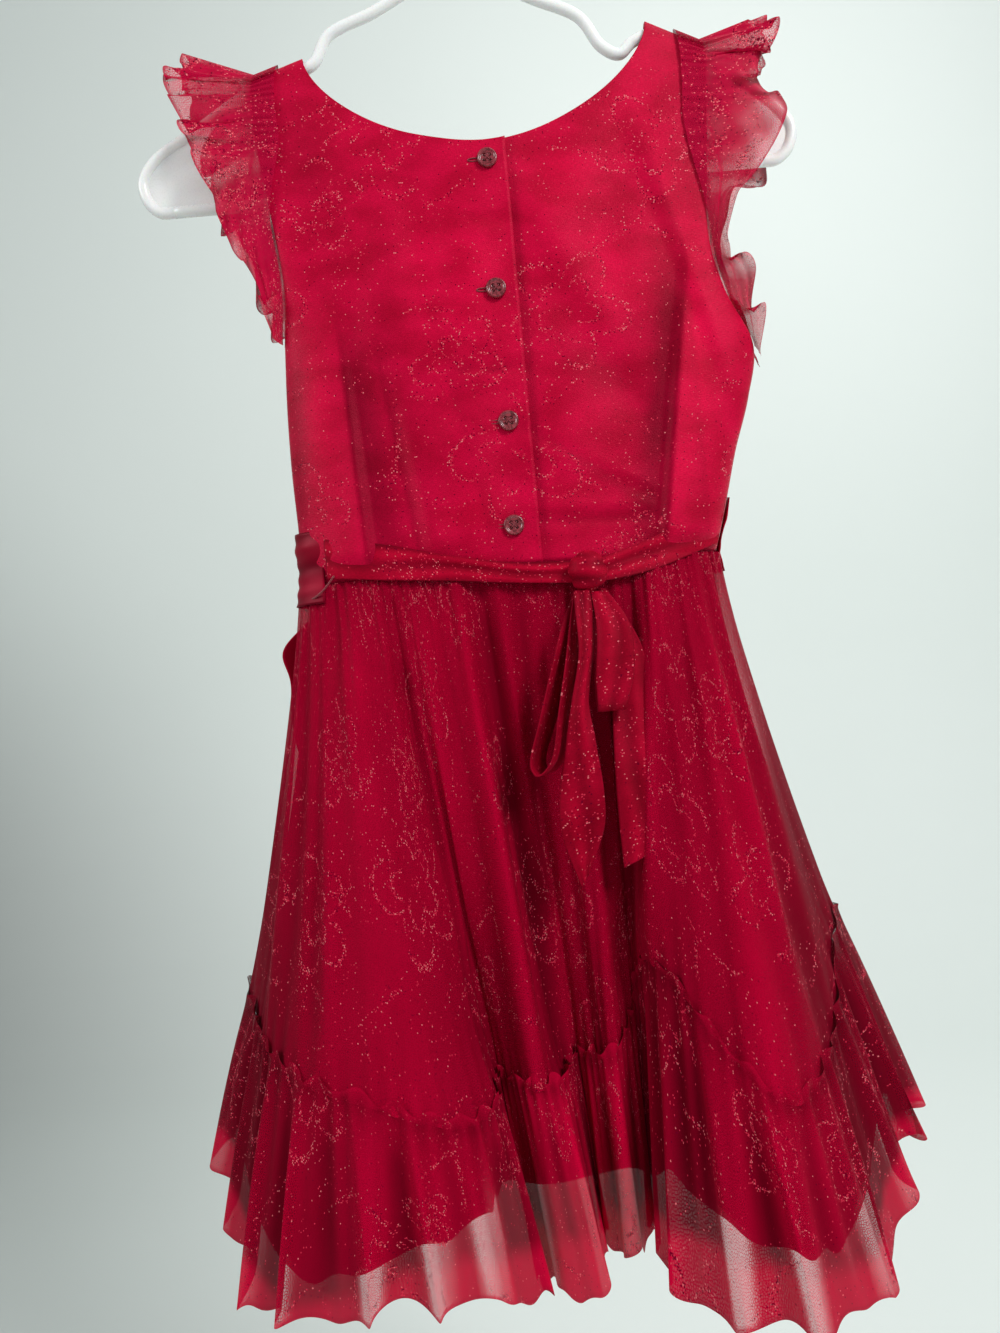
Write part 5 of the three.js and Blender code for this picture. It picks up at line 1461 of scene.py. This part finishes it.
def backdrop_material():
    """Pale paint with painted shade that grows darker down to the left, where less light falls on it."""
    material, nodes, shader = start_material("pale_paint", {"Roughness": 0.9})
    place = nodes.solid_place()
    parts = nodes.add("ShaderNodeSeparateXYZ", {0: place}).outputs
    slant = nodes.math("MULTIPLY_ADD", parts[0], -0.36, nodes.math("MULTIPLY_ADD", parts[2], -0.34, -0.17))
    colour = nodes.mix(nodes.noise(place, 1.2), (0.84, 0.89, 0.86, 1), (0.88, 0.93, 0.90, 1))
    colour = nodes.mix(1.0, colour, nodes.spread(slant, 0.2, 1.0, 1.0, 0.33), "MULTIPLY")
    nodes.feed(shader, base_color=colour)
    return material


def add_backdrop():
    """A pale floor that bends up through a quarter circle into a distant pale wall."""
    columns, rows = GRIDS["floor"]
    u, v = grid(columns, rows)
    bend = BACKDROP.bend
    run = v * BACKDROP.run
    flat = BACKDROP.wall_y - BACKDROP.front_y - bend
    angle = np.clip((run - flat) / bend, 0, math.pi / 2)
    y = BACKDROP.front_y + np.minimum(run, flat) + bend * np.sin(angle)
    z = BACKDROP.floor_z + bend * (1 - np.cos(angle)) + np.maximum(run - flat - bend * math.pi / 2, 0)
    points = stack((u - 0.5) * BACKDROP.width, y, z)
    mesh = bpy.data.meshes.new("pale_floor")
    mesh.from_pydata(points.reshape(-1, 3).tolist(), [], quads(rows, columns).tolist())
    mesh.shade_smooth()
    mesh.materials.append(backdrop_material())
    floor = bpy.data.objects.new("pale_floor", mesh)
    bpy.context.scene.collection.objects.link(floor)


def add_lights():
    """One large soft light from the upper right, a weaker one from the left, one on the wall, and light from
    all round."""
    bpy.context.scene.view_settings.view_transform = "Standard"
    world = bpy.data.worlds.new("studio")
    bpy.context.scene.world = world
    world.use_nodes = True
    background = world.node_tree.nodes["Background"]
    background.inputs["Color"].default_value = WORLD.colour
    background.inputs["Strength"].default_value = WORLD.strength
    for name, place, aim, size, power in LIGHTS:
        data = bpy.data.lights.new(name, "AREA")
        data.size, data.energy = size, power
        lamp = bpy.data.objects.new(name, data)
        lamp.matrix_world = looking(place, aim)
        bpy.context.scene.collection.objects.link(lamp)


def looking(place, aim):
    """The matrix of a lamp at a place that shines towards an aim."""
    away = (Vector(place) - Vector(aim)).normalized()
    right = Vector((0, 0, 1)).cross(away).normalized()
    up = away.cross(right)
    return Matrix.Translation(place) @ Matrix((right, up, away)).transposed().to_4x4()


def add_camera():
    """A little below the belt, looking along +Y and rolled a little."""
    data = bpy.data.cameras.new("camera")
    data.sensor_width, data.sensor_fit, data.lens = CAMERA.sensor, "AUTO", CAMERA.lens
    camera = bpy.data.objects.new("camera", data)
    cos, sin = math.cos(CAMERA.roll), math.sin(CAMERA.roll)
    axes = Matrix(((cos, sin, 0), (0, 0, -1), (-sin, cos, 0)))
    camera.matrix_world = Matrix.Translation(CAMERA.place) @ axes.to_4x4()
    bpy.context.scene.collection.objects.link(camera)
    bpy.context.scene.camera = camera


add_camera()
add_bodice()
add_sleeves()
add_skirt()
add_ruffle()
add_sash()
add_sash_tail()
add_belt("belt_left", 0, BELT.left_end_row)
add_belt("belt_right", BELT.right_start_row, len(BELT_PATH["x"]) - 1)
add_knot()
add_ribbon("bow_loop_left", LOOP_LEFT)
add_ribbon("bow_loop_right", LOOP_RIGHT)
add_ribbon("bow_tail_left", TAIL_LEFT, TAIL_CUT)
add_ribbon("bow_tail_right", TAIL_RIGHT, TAIL_CUT)
add_buttons()
add_stitches()
add_hanger()
add_backdrop()
add_lights()
